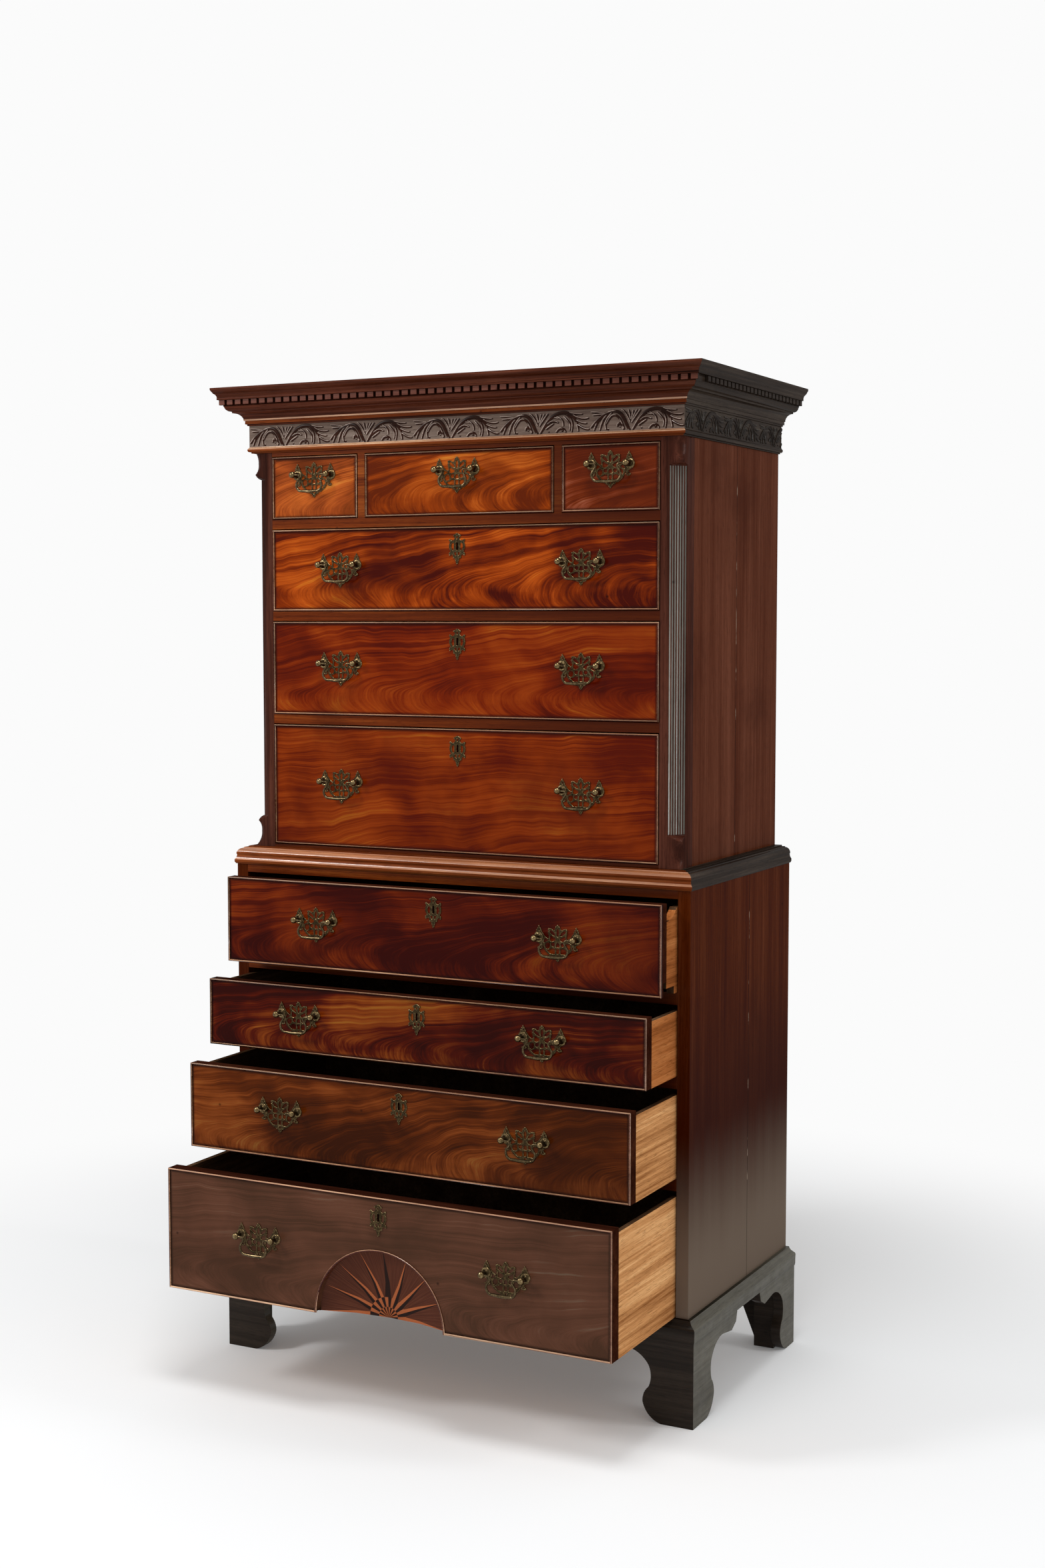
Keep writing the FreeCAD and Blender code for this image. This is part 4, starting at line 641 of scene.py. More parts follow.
def round_beads(look):
    """Bevel the long front edges of the beads, which are the foremost edges of all."""
    front = min(spot.co.y for spot in look.data.vertices)
    with editing(look, "DESELECT", "EDGE"):
        for edge in bmesh.from_edit_mesh(look.data).edges:
            first, second = (spot.co for spot in edge.verts)
            edge.select_set(max(first.y, second.y) < front + 0.2 * MM and (first - second).length > 6 * MM)
        bmesh.update_edit_mesh(look.data)
        bpy.ops.mesh.bevel(offset=1.45 * MM, segments=3, affect="EDGES", clamp_overlap=True)


def inner_face(spot, normal):
    """A test for the inside faces of a drawer, which are painted dark as shade."""
    return normal.x * spot.x < -0.3 * abs(spot.x) or normal.y < -0.7 or normal.z > 0.98


def dress_front(node, veneer):
    """A drawer front: round beads, figured field, and plainer wood where it isn't seen."""
    look = whole_faces(node)
    round_beads(look)
    low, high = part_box(node)
    niche = NICHE_RADIUS if "sunburst" in node else 0.0
    if not niche:
        soften(look, 0.35)
    keep_inside(look, node)
    # A short drawer is one node, so behind its front board come its oak sides.
    board = 0.0235 if "short" in node else 1.0
    lay(look, veneer,
        (inside_wood, lambda spot, normal: (normal.y > 0.5 or spot.y > low.y + FIELD)
         and (normal.y > 0.5 or math.hypot(spot.x, spot.z - low.z) > niche)),
        (bead_wood, lambda spot, normal: spot.y < low.y + BEAD),
        # Bead noses that look up and to the front take a pale painted highlight.
        (pale_highlight_wood, lambda spot, normal: spot.y < low.y + NOSE and normal.y < -0.2 and normal.z > -0.2
         and (normal.y > -0.95 or min(spot.z - low.z, high.z - spot.z) < 4 * MM)),
        (oak_wood, lambda spot, normal: spot.y > low.y + board and not inner_face(spot, normal)))
    if not niche:
        smooth_faces(look, 40)
    seat(look, nodes[node]["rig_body"], "mahogany_front", node)


# For each front: level, reach, curl, width and warp of its flames, three shades in thousandths,
# and how strongly painted shade darkens the right-hand end.
FIGURES = {
    "short_drawer_left": ((-0.05, 14, 6, 14, 0.05), ((85, 15, 1), (245, 43, 6), (450, 97, 13)), 0.2),
    "short_drawer_middle": ((-0.03, 16, 8, 16, 0.07), ((90, 10, 0), (230, 33, 1), (420, 87, 8)), 0),
    "short_drawer_right": ((-0.06, 20, 6, 12, 0.05), ((70, 8, 1), (120, 16, 2), (210, 48, 20)), 0.2),
    "upper_first_drawer_front": ((-0.045, 17, 9, 13, 0.08), ((44, 2, 0), (170, 19, 0), (370, 61, 4)), 0.2),
    "upper_second_drawer_front": ((-0.055, 22, 12, 12, 0.07), ((60, 3, 0), (142, 12, 0), (232, 32, 2)), 0.2),
    "upper_third_drawer_front": ((-0.13, 34, 12, 8, 0.07), ((74, 4, 0), (150, 16, 0), (232, 32, 2)), 0.1),
    "fall_front": ((-0.045, 18, 10, 16, 0.06), ((30, 1, 0), (72, 5, 0), (155, 18, 1)), 0.3),
    "lower_second_drawer_front": ((-0.04, 22, 12, 18, 0.05), ((24, 1, 0), (76, 5, 0), (205, 40, 4)), 0.3),
    "lower_third_drawer_front": ((-0.06, 13, 9, 12, 0.09), ((36, 6, 0), (96, 17, 1), (205, 46, 7)), 0.5),
    "sunburst_drawer_front": ((-0.08, 26, 12, 10, 0.06), ((58, 24, 12), (88, 34, 18), (115, 45, 25)), 0.2),
}
LABELS = ("Level", "Reach", "Curl", "Width", "Warp")
for number, (node, (numbers, shades, painted_end_gloom)) in enumerate(FIGURES.items()):
    if node == "sunburst_drawer_front":
        continue
    veneer = figured("Veneer " + node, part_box(node), number * 1.7, dict(zip(LABELS, numbers)), shades, painted_end_gloom)[0]
    dress_front(node, veneer)
print("fronts", len(FIGURES) - 1)

# %% [markdown]
# ## Pierced brasses
# Each handle has a cast plate pierced like lace, two turned posts and a swan-neck bail. A flat
# curve with holes is the quickest way to a pierced plate: the outline and every piercing are
# splines of one filled curve, and its bevel rounds the cast edges.

# %% Casting a plate
def cast_plate(name, half, holes, pearls, thick, edge):
    """A flat casting in the XZ plane with its back on y = 0: a half outline that is completed by
    its mirror image, piercings, and pearls along the edge, all in millimetres."""
    outlines = [half + [(-x, z) for x, z in reversed(half) if x]]
    for hole in holes:
        outlines.append(hole)
        # A piercing that lies off the middle has a twin on the other side.
        if sum(x for x, _ in hole) > 1:
            outlines.append([(-x, z) for x, z in hole])
    curve = bpy.data.curves.new(name, "CURVE")
    curve.dimensions = "2D"
    curve.fill_mode = "BOTH"
    curve.extrude = (thick / 2 - edge) * MM
    curve.bevel_depth = edge * MM
    curve.bevel_resolution = 1
    curve.offset = -edge * MM
    for points in outlines:
        line = curve.splines.new("POLY")
        line.points.add(len(points) - 1)
        line.use_cyclic_u = True
        for spot, (x, z) in zip(line.points, points):
            spot.co = (x * MM, z * MM, 0.0, 1.0)
    hold(placed(name, curve))
    bpy.ops.object.convert(target="MESH")
    plate = bpy.context.object
    plate.rotation_euler = (math.radians(90), 0.0, 0.0)
    plate.location = (0.0, -thick / 2 * MM, 0.0)
    settle(plate)
    lay(plate, bright_brass, (dull_brass, lambda spot, normal: abs(normal.y) > 0.99))
    both = pearls + [(-x, z, radius) for x, z, radius in pearls if x]
    beads = joined(name + "_pearls", [pearl(x, -thick, z, radius, 5) for x, z, radius in both])
    lay(beads, bright_brass)
    return joined(name, [plate, beads])


PLATE_HALF = [
    (0, 24), (1.8, 23.4), (4.8, 19), (5.3, 16.5), (7, 14.6), (9.5, 14), (12.4, 16.6), (14.3, 17.2), (18, 17.4),
    (19.4, 14.5), (18.2, 11.5), (19, 9), (18.7, 6), (17.4, 2.5), (18, -1), (20.6, -1.2), (23.5, .8), (27.4, 4.2),
    (29.2, 7.4), (32, 10.4), (32, 13), (33.6, 15), (35.4, 17.6), (37.2, 21.2), (39.2, 18), (41, 15.4), (42.4, 13),
    (42.5, 10.2), (45.8, 6.4), (47.4, 2.4), (47.4, -2.4), (45.6, -6.4), (42.4, -9), (38.6, -10.6), (35.6, -12.6),
    (36.4, -16), (40, -17.6), (40.4, -19.9), (37, -21.6), (34, -22), (30.4, -19.6), (30.6, -15.5), (29.4, -13),
    (28.4, -16.4), (27.6, -21.4), (23, -26.6), (14.8, -33), (11.6, -33), (8.3, -36.3), (4.6, -37), (3, -40.4),
    (0, -43.5)]
PLATE_HOLES = [
    [(0, 18.4), (2.2, 14), (2.7, 9), (1.4, 4), (0, 2), (-1.4, 4), (-2.7, 9), (-2.2, 14)],
    [(4, 4.4), (6.6, 9.4), (12.6, 14), (15.6, 13.6), (15.6, 9.6), (8, 4)],
    [(5.4, -4.4), (4.2, -.8), (8.4, 1.2), (15, 5), (15.6, -.6), (15.2, -5.4), (10.6, -6.6)],
    [(5.6, -8.8), (9, -8.2), (13.4, -9.2), (13.2, -13.4), (9.6, -15.8), (6.2, -14)],
    [(0, -8), (2.9, -9.8), (4, -16.6), (-4, -16.6), (-2.9, -9.8)],
    [(16, -10.2), (19.6, -8.6), (24.2, -10.2), (25.8, -14.6), (24.2, -18.8), (20, -20.4), (16.4, -18.4), (15.2, -14)],
    [(18.6, -5), (21, -3), (26.4, -.6), (27.4, -4.4), (28.6, -9.4), (26.4, -9), (22, -6.6)],
    [(3.2, -19.2), (-3.2, -19.2), (-3, -28.4), (3, -28.4)],
    [(5.6, -19.6), (11.2, -18.6), (15.6, -21.2), (22.4, -22.4), (14.8, -29), (5.4, -29)],
    [(3.2, -31.2), (-3.2, -31.2), (0, -37)],
    [(33, -14.6), (34.6, -17.8), (37.2, -19.2), (34.4, -19.9), (32.4, -17.6)],
    [(37.2, 17.4), (38.6, 13.8), (37.2, 10.8), (35.8, 13.8)],
]
PLATE_PEARLS = [(0, 23, 1.3), (3.4, 20.2, 1.1), (9.4, 14.4, 1.1), (12.2, 16.2, 1), (15.2, 16.6, 1.1),
                (18.2, 15.6, 1.2), (18.4, 10.4, 1), (37.2, 20.4, 1.2), (34.6, 16.6, .9), (40, 16.6, .9),
                (32.8, 12.4, .9), (41.8, 12.4, .9), (39.2, -18.8, 1.3), (30.8, -18.8, .9), (6.2, -35.4, 1.2),
                (2, -40.4, 1)]
KEY_HALF = [
    (0, 24), (2.4, 23.4), (4.4, 21.8), (7.4, 20.6), (8.2, 18.4), (5.4, 17.2), (4.6, 15.6), (5.2, 13.3), (8.3, 10.2),
    (11.6, 10.6), (14.5, 13.2), (16.6, 12.6), (17, 10.2), (14.9, 7.2), (16.8, 3.4), (17, -2.6), (15.4, -7),
    (13.2, -9.6), (15.6, -11.4), (17, -13.6), (16.4, -18), (13.8, -17), (11.8, -15.1), (9.2, -16.4), (8.3, -18.6),
    (8.8, -21.4), (6.6, -22.8), (4.5, -22.2), (4.2, -25.6), (2.6, -28.8), (2.2, -32), (0, -34.5)]
KEY_HOLES = [
    [(0, 7.4), (1.6, 6.8), (2.2, 5.2), (2.2, -5.4), (1.5, -7.2), (0, -7.6), (-1.5, -7.2), (-2.2, -5.4), (-2.2, 5.2),
     (-1.6, 6.8)],
    [(6.8, 5.6), (9.4, 6.2), (12, 3.6), (12.4, -1.6), (11, -6.4), (8.8, -8.4), (6.8, -6.8)],
    [(2.2, -11), (6.4, -11.4), (5.4, -15.6), (2.6, -18), (1.6, -14.4)],
    [(0, 19.4), (2, 16.4), (0, 13), (-2, 16.4)],
]
KEY_PEARLS = [(0, 23, 1.2), (6.8, 19.4, 1.2), (15.4, 11.6, 1.3), (15.8, -12.8, 1.1), (15.4, -16.4, 1.1),
              (7, -21.6, 1.1), (2.4, -27.6, .9), (0, -33, 1.1)]
PLATE_THICK = 1.8
plate_model = cast_plate("Handle_plate", PLATE_HALF, PLATE_HOLES, PLATE_PEARLS, PLATE_THICK, 0.5)
key_model = cast_plate("Key_plate", KEY_HALF, KEY_HOLES, KEY_PEARLS, PLATE_THICK, 0.5)
print("plates", len(plate_model.data.polygons), len(key_model.data.polygons), "faces")

# %% [markdown]
# ## Turned posts and bails
# A post is turned, so its half profile is spun once round. It has a moulded rose on the plate,
# a slim neck and a round head, and its shank runs back through the drawer front to a nut. The
# bail is a rod that swells in the middle: a curve with a round bevel, and a radius at each point.

# %% Posts
POST = [(0, -25), (5, -25), (5, -23), (2, -23), (2, 0), (9.2, 0), (9.5, 1.3), (8.7, 2.6), (7.5, 3.1), (7.1, 2.5),
        (6.3, 2.6), (5, 4.6), (3.6, 6), (3.2, 9), (3.5, 12.4), (4.6, 14.2), (5.9, 16.2), (6.6, 19), (6.2, 21.6),
        (4.9, 23.5), (2.9, 24.6), (0, 25)]


def turned(name, profile):
    """Spin a profile of (radius, reach) in millimetres round the Y axis; reach is to the front."""
    lathe = placed(name, bpy.data.meshes.new(name))
    edges = [(number, number + 1) for number in range(len(profile) - 1)]
    lathe.data.from_pydata([(radius * MM, -reach * MM, 0.0) for radius, reach in profile], edges, [])
    with editing(lathe):
        bpy.ops.mesh.spin(steps=20, angle=math.tau, center=(0, 0, 0), axis=(0, 1, 0))
        bpy.ops.mesh.select_all(action="SELECT")
        bpy.ops.mesh.remove_doubles(threshold=0.01 * MM)
        bpy.ops.mesh.normals_make_consistent(inside=False)
    return lathe


post_model = turned("Post", POST)
lay(post_model, dull_brass, (bright_brass, lambda spot, normal: spot.y < -19 * MM or 3 * MM > -spot.y > MM))


# %% Bails
def rod(name, points, facets=3, steps=4):
    """A round rod along (x, y, z, radius) points in millimetres, closed at both ends."""
    curve = bpy.data.curves.new(name, "CURVE")
    curve.dimensions = "3D"
    curve.bevel_depth = MM
    curve.bevel_resolution = facets
    curve.resolution_u = steps
    curve.use_fill_caps = True
    line = curve.splines.new("NURBS")
    line.points.add(len(points) - 1)
    for spot, (x, y, z, radius) in zip(line.points, points):
        spot.co = (x * MM, y * MM, z * MM, 1.0)
        spot.radius = radius
    line.order_u = 3
    line.use_endpoint_u = True
    hold(placed(name, curve))
    bpy.ops.object.convert(target="MESH")
    return bpy.context.object


BAIL_HALF = [(36, 0, 2), (31.2, 0, 2), (27.6, 0, 1.9), (23.2, -.6, 1.8), (21.2, -4.6, 1.7), (22.6, -8.6, 1.8),
             (26.8, -13.4, 2), (29.2, -19.4, 2.2), (27.2, -26.6, 2.4), (22, -31.4, 2.6), (15, -31.6, 2.8),
             (8, -31.9, 3), (2.5, -32.4, 3.3)]
bail_model = rod("Bail", [(x, 0, z, r) for x, z, r in BAIL_HALF] + [(-x, 0, z, r) for x, z, r in reversed(BAIL_HALF)])
lay(bail_model, bail_brass)

# %% [markdown]
# ## Hanging the brasses
# Plates and posts belong to their drawer, and each bail swings on a joint of its own, so it is
# a piece of its own that rides on its own body. The lock behind each keyed front, and the
# hinges of the fall, are kept from the plain nodes.


# %% Fit each handle to its joint
def kept_behind(node, front):
    """The solids of a node that stand wholly behind the drawer's face."""
    look = whole_faces(node)
    with editing(look, "DESELECT"):
        for spot in bmesh.from_edit_mesh(look.data).verts:
            spot.select_set(spot.co.y < front + 1.2 * MM)
        bmesh.update_edit_mesh(look.data)
        bpy.ops.mesh.select_linked()
        bpy.ops.mesh.delete(type="VERT")
    lay(look, dull_brass)
    return look


PIVOT_REACH = 0.0195
POST_APART = 0.0383
fittings = {}
for body, joint in joints.items():
    if "bail" not in body:
        continue
    x, y, z = joint["pos_m"]
    low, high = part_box(body)
    raised = math.radians(82) if low.z > z - 12 * MM else 0.0
    swung = moved(x, y, z) @ Matrix.Rotation(raised, 4, "X")
    bail = twin(bail_model, body + "_rod", swung)
    smooth_faces(bail, 60)
    seat(bail, body, "brass", body)
    face = y + PIVOT_REACH
    owner = body.split("_bail")[0] + "_brasses"
    fittings.setdefault(owner, []).extend(
        [twin(plate_model, "Plate", moved(x, face, z)), twin(post_model, "Post", moved(x - POST_APART, face, z)),
         twin(post_model, "Post", moved(x + POST_APART, face, z))])
    keyed = not owner.startswith("short")
    if keyed and "left" in body:
        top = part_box(owner.replace("_brasses", "_front"))[1].z
        fittings[owner].append(twin(key_model, "Key", moved(0.0, face, top - 0.0365)))
for owner, pieces in fittings.items():
    face = next(joint["pos_m"][1] for body, joint in joints.items()
                if body.startswith(owner.removesuffix("_brasses") + "_bail")) + PIVOT_REACH
    pieces.append(kept_behind(owner, face))
    whole = joined(owner + "_cast", pieces)
    smooth_faces(whole, 40)
    seat(whole, nodes[owner]["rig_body"], "brass", owner)
for model in (plate_model, key_model, post_model, bail_model):
    bpy.data.objects.remove(model)
for node in ("secretaire_hinges", "quadrant_stays"):
    dress(node, dull_brass, "brass", 0.3)
print("handles", sum("bail" in body for body in joints), "on", len(fittings), "drawers")

# %% [markdown]
# ## The carved frieze
# Below the cornice runs a band of gothic arches, each filled with acanthus. The carver cut the
# leaves with sweeping gouge strokes, thick in the middle and fine at the tip, so each stroke
# is a rod whose radius grows and dies away, pressed flat against a matted ground. One repeat
# is modelled, then copied along the front and round both returns.

# %% One repeat of the carving
REPEAT = 183.6
STROKES = [
    # left arch: its two ribs, the leaf ridges that fall from them, and the tips above
    (3.2, (78.5, 0), (73.1, 9.4), (66.5, 23.9), (59.2, 33.4), (47.9, 36.6), (37.2, 34.7)),
    (2.2, (67.8, 3.9), (62.5, 18.3), (53.2, 28.5), (43.9, 28.8), (37.2, 21.8), (33.2, 13.4)),
    (3.0, (47.9, 36.6), (30.6, 32), (16, 22.4), (6.6, 12.7), (2, 7.8)),
    (2.6, (40, 34), (26.6, 29.3), (13.3, 16.8), (8.6, 2.6)),
    (2.4, (42, 35), (33.2, 29.1), (23.9, 17.9), (20, 2.3)),
    (2.2, (44, 33), (35.9, 24.7), (29.3, 13.5), (32.6, 3.4)),
    (2.4, (30.6, 32), (16, 35.3), (2.7, 35.6)),
    (2.2, (30.6, 31), (12, 30.7), (6.6, 29.8)),
    (2.4, (54.5, 8), (54.5, 12.7), (59.2, 14.4), (66.5, 7.7), (66.5, 2.4)),
    # the small palmette between the arches
    (2.4, (63.2, 37.6), (71.8, 33.8), (79.8, 15)),
    (2.2, (76, 37), (78.6, 33), (80.4, 20)),
    (2.2, (85.8, 36), (84.8, 30), (82, 20)),
    (2.2, (93, 36.5), (89, 30.4), (83.5, 18)),
    (2.4, (99.7, 36.6), (93, 28.9), (82.4, 13.9)),
    # right arch and its leaves
    (3.2, (83.8, 1.3), (93, 16), (103.7, 28.6), (117, 36.1), (131.6, 38), (143.6, 35.4), (152.9, 27.3), (159.6, 14.2),
     (160.9, 2.8)),
    (2.4, (143.6, 36.8), (156.9, 32.9), (169.5, 33.2)),
    (2.6, (150, 32.5), (166.2, 22.2), (181.5, 25.8)),
    (2.4, (156, 23.4), (170.2, 15.3), (178.2, 16.6)),
    (2.6, (159.6, 14.7), (175.5, 3.8), (183, 6)),
    (2.2, (130, 36.5), (137, 34.8), (146.3, 26), (150.3, 14.5), (147.6, 1.7)),
    (2.2, (132, 30), (141, 21.8), (146.3, 13), (143.6, 4.6)),
    (2.6, (91.8, 11.8), (101.1, 20.1), (113, 24.1), (121, 19.6)),
    (2.2, (96, 9), (104, 14.4), (111.7, 18.4)),
    (2.4, (116.4, 2.5), (119.7, 8.2), (127.7, 10), (134.3, 6.3), (135.6, 1.9)),
    (2.0, (118, 31), (126, 27), (131, 20), (131, 13)),
    (1.8, (107, 30), (114, 29), (122, 27)),
]
PEARLS = [(37.2, 3.2, 2.2), (129.7, 4.2, 2.2), (102.4, 3.6, 1.8), (60.5, 6.5, 1.6)]


def carved_repeat():
    """One repeat as one mesh, from x = 0 to 183.6 mm and up from z = 0: every stroke is a broad
    dark hollow and, along its upper left edge, the sharp ridge that the gouge has left, which
    takes a painted highlight."""
    cut = []
    for girth, *line in STROKES:
        last = len(line) - 1
        swell = [0.45 + 0.55 * math.sin(math.pi * min(number / last * 0.9 + 0.1, 1.0)) for number in range(last + 1)]
        body = [(x + 1.5, -0.2, z - 1.2, girth * 1.2 * width) for (x, z), width in zip(line, swell)]
        ridge = [(x, -1.7, z, 0.24 + girth * 0.27 * width) for (x, z), width in zip(line, swell)]
        for points, material, facets in ((body, leaf_wood, 1), (ridge, ridge_highlight_wood, 0)):
            cut.append(rod("Stroke", points, facets, 3))
            lay(cut[-1], material)
    for x, z, radius in PEARLS:
        cut.append(pearl(x, 0, z, radius, 6))
        # The tops of the pearls take the painted highlight.
        lay(cut[-1], leaf_wood, (ridge_highlight_wood, lambda spot, normal: normal.z > 0.4))
    whole = joined("Carving", cut)
    whole.data.transform(Matrix.Diagonal((1.0, 0.62, 1.0, 1.0)))
    for spot in whole.data.vertices:
        spot.co.z = min(max(spot.co.z, 0.3 * MM), 40.5 * MM)
    return whole


leaf_wood = timber("Carved mahogany", (12, 4, 2), (26, 8, 4), (55, 19, 10), ALONG_X, rough=0.25, coat=0.10)
# A painted highlight for the ridges of the carving and the tops of its pearls.
ridge_highlight_wood = timber("Carved crests", (240, 165, 130), (450, 340, 280), (700, 560, 480), ALONG_X, rough=0.22,
                    shine=0.3, coat=0.6)
# Copies of the carving's colours in painted shade, for the right returns.
dim_crest = timber("Carved crests in shade", (22, 18, 14), (50, 42, 34), (100, 85, 70), ALONG_Y, rough=0.3,
                   coat=0.2)
dim_leaf = timber("Carving in shade", (6, 4, 3), (14, 10, 8), (30, 22, 18), ALONG_Y, rough=0.3, coat=0.1)
ground_wood = timber("Matted ground", (105, 70, 55), (160, 115, 92), (230, 175, 145), ALONG_X, rough=0.7,
                     coat=0.0, depth=0.5)
GROUND_Z, NECK_TOP = 1.788, 1.7815
# The neck bead below the matted ground takes a painted highlight on its top, and the returns painted shade.
dress("frieze", ground_wood, "mahogany_case", 0.3,
      (mould_wood, lambda spot, normal: spot.z < GROUND_Z - 0.1 * MM),
      (pale_highlight_wood, lambda spot, normal: NECK_TOP < spot.z < GROUND_Z - 0.1 * MM and normal.z > 0.3),
      *returns("frieze"))

# %% The carving laid along the frieze
low, high = Vector((-0.4595, -0.0873, GROUND_Z)), Vector((0.4595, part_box("frieze")[1].y, 1.829))
carving = carved_repeat()
smooth_faces(carving, 60)
band = []
for number in range(5):
    band.append(twin(carving, "Carving_front", moved(low.x + number * REPEAT * MM, low.y, low.z)))
for side in (-1, 1):
    turn = Matrix.Rotation(math.radians(90), 4, "Z") @ Matrix.Diagonal((1.0, side, 1.0, 1.0))
    for number in range(3):
        edge = low.y + number * REPEAT * MM
        piece = twin(carving, "Carving_return", moved(high.x if side > 0 else low.x, edge, low.z) @ turn)
        # The right returns take the carving's colours in painted shade.
        if side > 0:
            piece.data.materials[0] = dim_leaf
            piece.data.materials[1] = dim_crest
        else:
            piece.data.flip_normals()
        band.append(piece)
frieze_leaves = joined("Frieze_carving", band)
# What runs on past the back of the return is cut away.
with editing(frieze_leaves):
    bpy.ops.mesh.bisect(plane_co=(0.0, high.y - MM, 0.0), plane_no=(0.0, 1.0, 0.0), clear_outer=True, use_fill=True)
seat(frieze_leaves, nodes["frieze"]["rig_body"], "mahogany_case")
bpy.data.objects.remove(carving)
print("carving", len(frieze_leaves.data.polygons), "faces")

# %% [markdown]
# ## Fluted corners
# The canted corners of the upper case are fluted, and the flutes are painted pale, a painted
# reflection of the lamps and the white room.

# %% Canted corners
flute_reflection_wood = timber("Mahogany flutes painted reflection", (190, 180, 150), (260, 250, 215), (380, 365, 320), rough=0.24, shine=0.2,
                    coat=0.4)
corner_wood = timber("Mahogany corners", (18, 4, 2), (42, 11, 6), (85, 26, 15), rough=0.24, coat=0.08)
CANT = math.sqrt(0.5)
FLUTES_FROM, FLUTES_TO, FLUTE_DEEP = 1.0665, 1.7245, 0.3583
dress("canted_corners", corner_wood, "mahogany_case", 0.0,
      (flute_reflection_wood, lambda spot, normal: FLUTES_FROM < spot.z < FLUTES_TO
       and CANT * (abs(spot.x) - spot.y) < FLUTE_DEEP and CANT * (abs(normal.x) - normal.y) > 0.95))

# %% [markdown]
# ## The sunburst
# The niche in the bottom drawer is inlaid with a half sun: nine rays in two woods, light and
# dark, round a hub of narrow wedges. The pattern follows from angle and radius alone, so it
# is drawn by a node group that reads the place on the drawer and puts out one mask for each wood.

# %% Sunburst group
sun, given, result = new_group("Sunburst", {"Vector": None, "Rim": 0.131, "Hub": 0.038},
                               ("Inside", "Light", "Dark", "Radial"))
WEDGE = math.radians(22.5)
spot = step(sun, "SeparateXYZ", {0: given["Vector"]})
radius = (spot["X"] * spot["X"] + spot["Z"] * spot["Z"]).root()
turn = spot["X"].arctan(spot["Z"]) / WEDGE
nearest = round(turn)
off = turn - nearest
# A ray is a long triangle: it starts nearly as wide as a wedge at the hub and ends in a point at the rim.
taper = (given["Rim"] - radius) / (given["Rim"] - given["Hub"])
ray = abs(off) * (radius * WEDGE) < taper * 0.0064
outer = radius > given["Hub"]
# The half of each ray that looks towards the vertical is light, and the other is dark.
middle = abs(nearest) < 0.5
lit_ray = (off * nearest < 0.0) * (1.0 - middle)
# The hub is cut into half wedges, light and dark by turns, and the turns change half way out.
half_wedge = math.floor((turn + 20.0) * 2.0) % 2.0
checker = abs(half_wedge - (radius < given["Hub"] * 0.52))
hub = 1.0 - outer
lines = step(sun, "CombineXYZ", {0: turn * 24.0, 1: radius * 9.0})[0]
fill(result, {"Inside": radius < given["Rim"],
              "Light": ray * outer * lit_ray + hub * checker,
              "Dark": ray * outer * (1.0 - lit_ray) + hub * (1.0 - checker),
              "Radial": noise(lines, 1.0, 3.0)[0]})

# %% The bottom drawer
node = "sunburst_drawer_front"
numbers, shades, painted_end_gloom = FIGURES[node]
low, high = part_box(node)
veneer, tree, surface, place, plain = figured("Veneer " + node, (low, high), 3.1, dict(zip(LABELS, numbers)), shades,
                                              painted_end_gloom, 0.4)
inlay = use(sun, step(tree, "Mapping", {"Vector": place, "Location": (0.0, 0.0, -low.z)})[0])
ground = ramp(inlay["Radial"], *zip((0.32, 0.5, 0.68), mixed((55, 16, 9), (80, 23, 12), (110, 36, 18))))
lit = colour_mix(inlay["Light"], ground, (0.36, 0.10, 0.035))
inlaid = colour_mix(inlay["Dark"], lit, (0.018, 0.008, 0.006))
fill(surface, {"Base Color": colour_mix(inlay["Inside"], plain, inlaid)})
dress_front(node, veneer)

# %% Linings
for node in nodes:
    if node.endswith("_box"):
        # The secretaire and second drawers have darker oak linings.
        lining = darker_oak if node.startswith(("secretaire", "lower_second")) else oak_wood
        dress(node, lining, "oak", 0.4, (oak_inside_shade, inner_face))

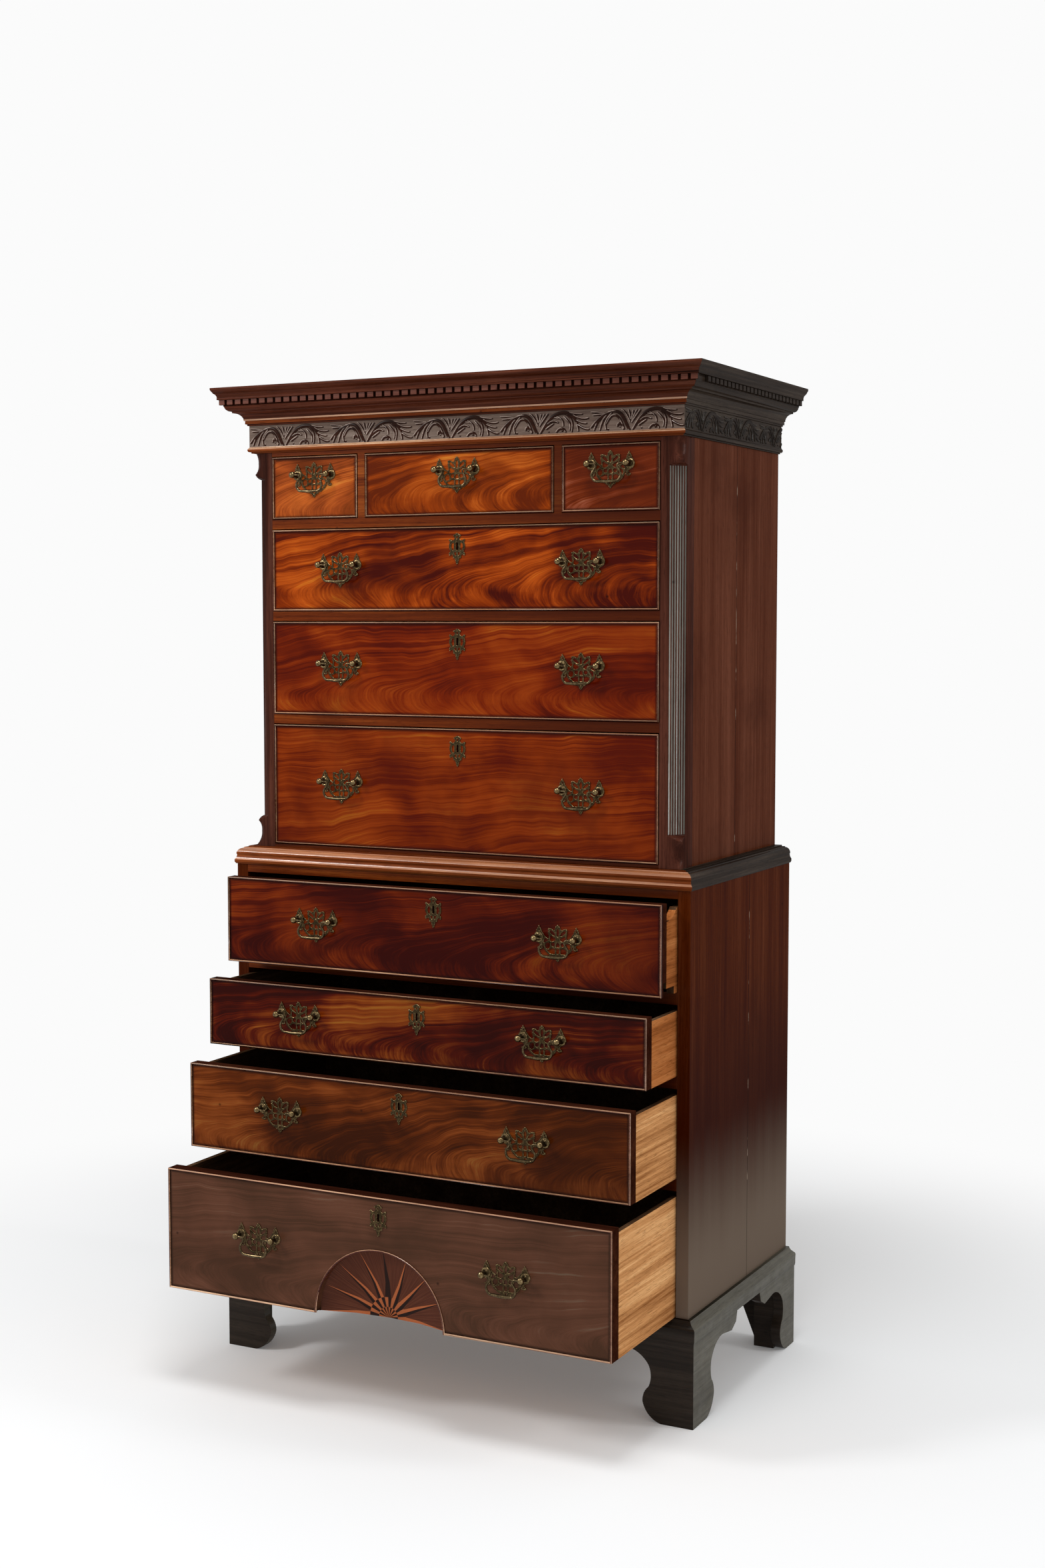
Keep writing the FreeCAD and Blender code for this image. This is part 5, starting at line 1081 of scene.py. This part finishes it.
# %% [markdown]
# ## The studio
# One wide floor runs out to a white room. Soft light comes from everywhere, with large lamps
# above and to both sides, so that colours show as they are mixed.

# %% Floor
def seen(tree):
    """1 where the eye looks, directly or in a mirror, and 0 for light that spreads."""
    path = step(tree, "LightPath")
    return path["Is Camera Ray"].most(path["Is Glossy Ray"].most(path["Is Transmission Ray"]))


bpy.ops.object.select_all(action="DESELECT")
bpy.ops.mesh.primitive_plane_add(size=60.0, location=(0.0, 0.0, 0.0))
floor = bpy.context.object
floor.name = "Studio_floor"
paper, tree, surface, place = new_material("Studio paper", 0.1, 0.0)
fill(surface, {"Base Color": (0.85, 0.86, 0.868, 1.0), "Roughness": 0.9})
distance = step(tree, "VectorMath", {0: place}, operation="LENGTH")["Value"]
glow = step(tree, "Emission", {"Color": (0.965, 0.965, 0.965, 1.0), "Strength": 1.0})[0]
# Beyond a metre the floor fades into the plain white of the room.
fade = span(distance, 1.0, 2.2, 0.10, 1.0) * seen(tree)
blend = step(tree, "MixShader", {0: fade, 1: wires(surface)[0], 2: glow})[0]
fill(tree.nodes["Material Output"], {"Surface": blend})
floor.data.materials.append(paper)

# %% World and lamps
world = bpy.data.worlds.new("Studio")
scene.world = world
world.use_nodes = True
fill(world.node_tree.nodes["Background"],
     {"Strength": span(seen(world.node_tree), 0.0, 1.0, 0.60, 0.965), "Color": (1.0, 1.0, 1.0, 1.0)})


def lamp(name, place, aim, wide, tall, watts):
    """A rectangular lamp that faces its aim."""
    made = placed(name, bpy.data.lights.new(name, "AREA"))
    made.data.shape = "RECTANGLE"
    made.data.size = wide
    made.data.size_y = tall
    made.data.energy = watts
    made.location = place
    made.rotation_euler = (Vector(aim) - Vector(place)).to_track_quat("-Z", "Y").to_euler()


lamp("Left_softbox", (-2.4, -2.6, 2.9), (0.0, 0.0, 0.9), 0.8, 0.8, 60.0)
lamp("Top_softbox", (0.4, -1.2, 4.0), (0.0, 0.0, 0.6), 1.2, 1.2, 60.0)
lamp("Right_softbox", (3.3, 0.5, 2.4), (0.3, 0.0, 1.0), 0.6, 1.2, 26.0)
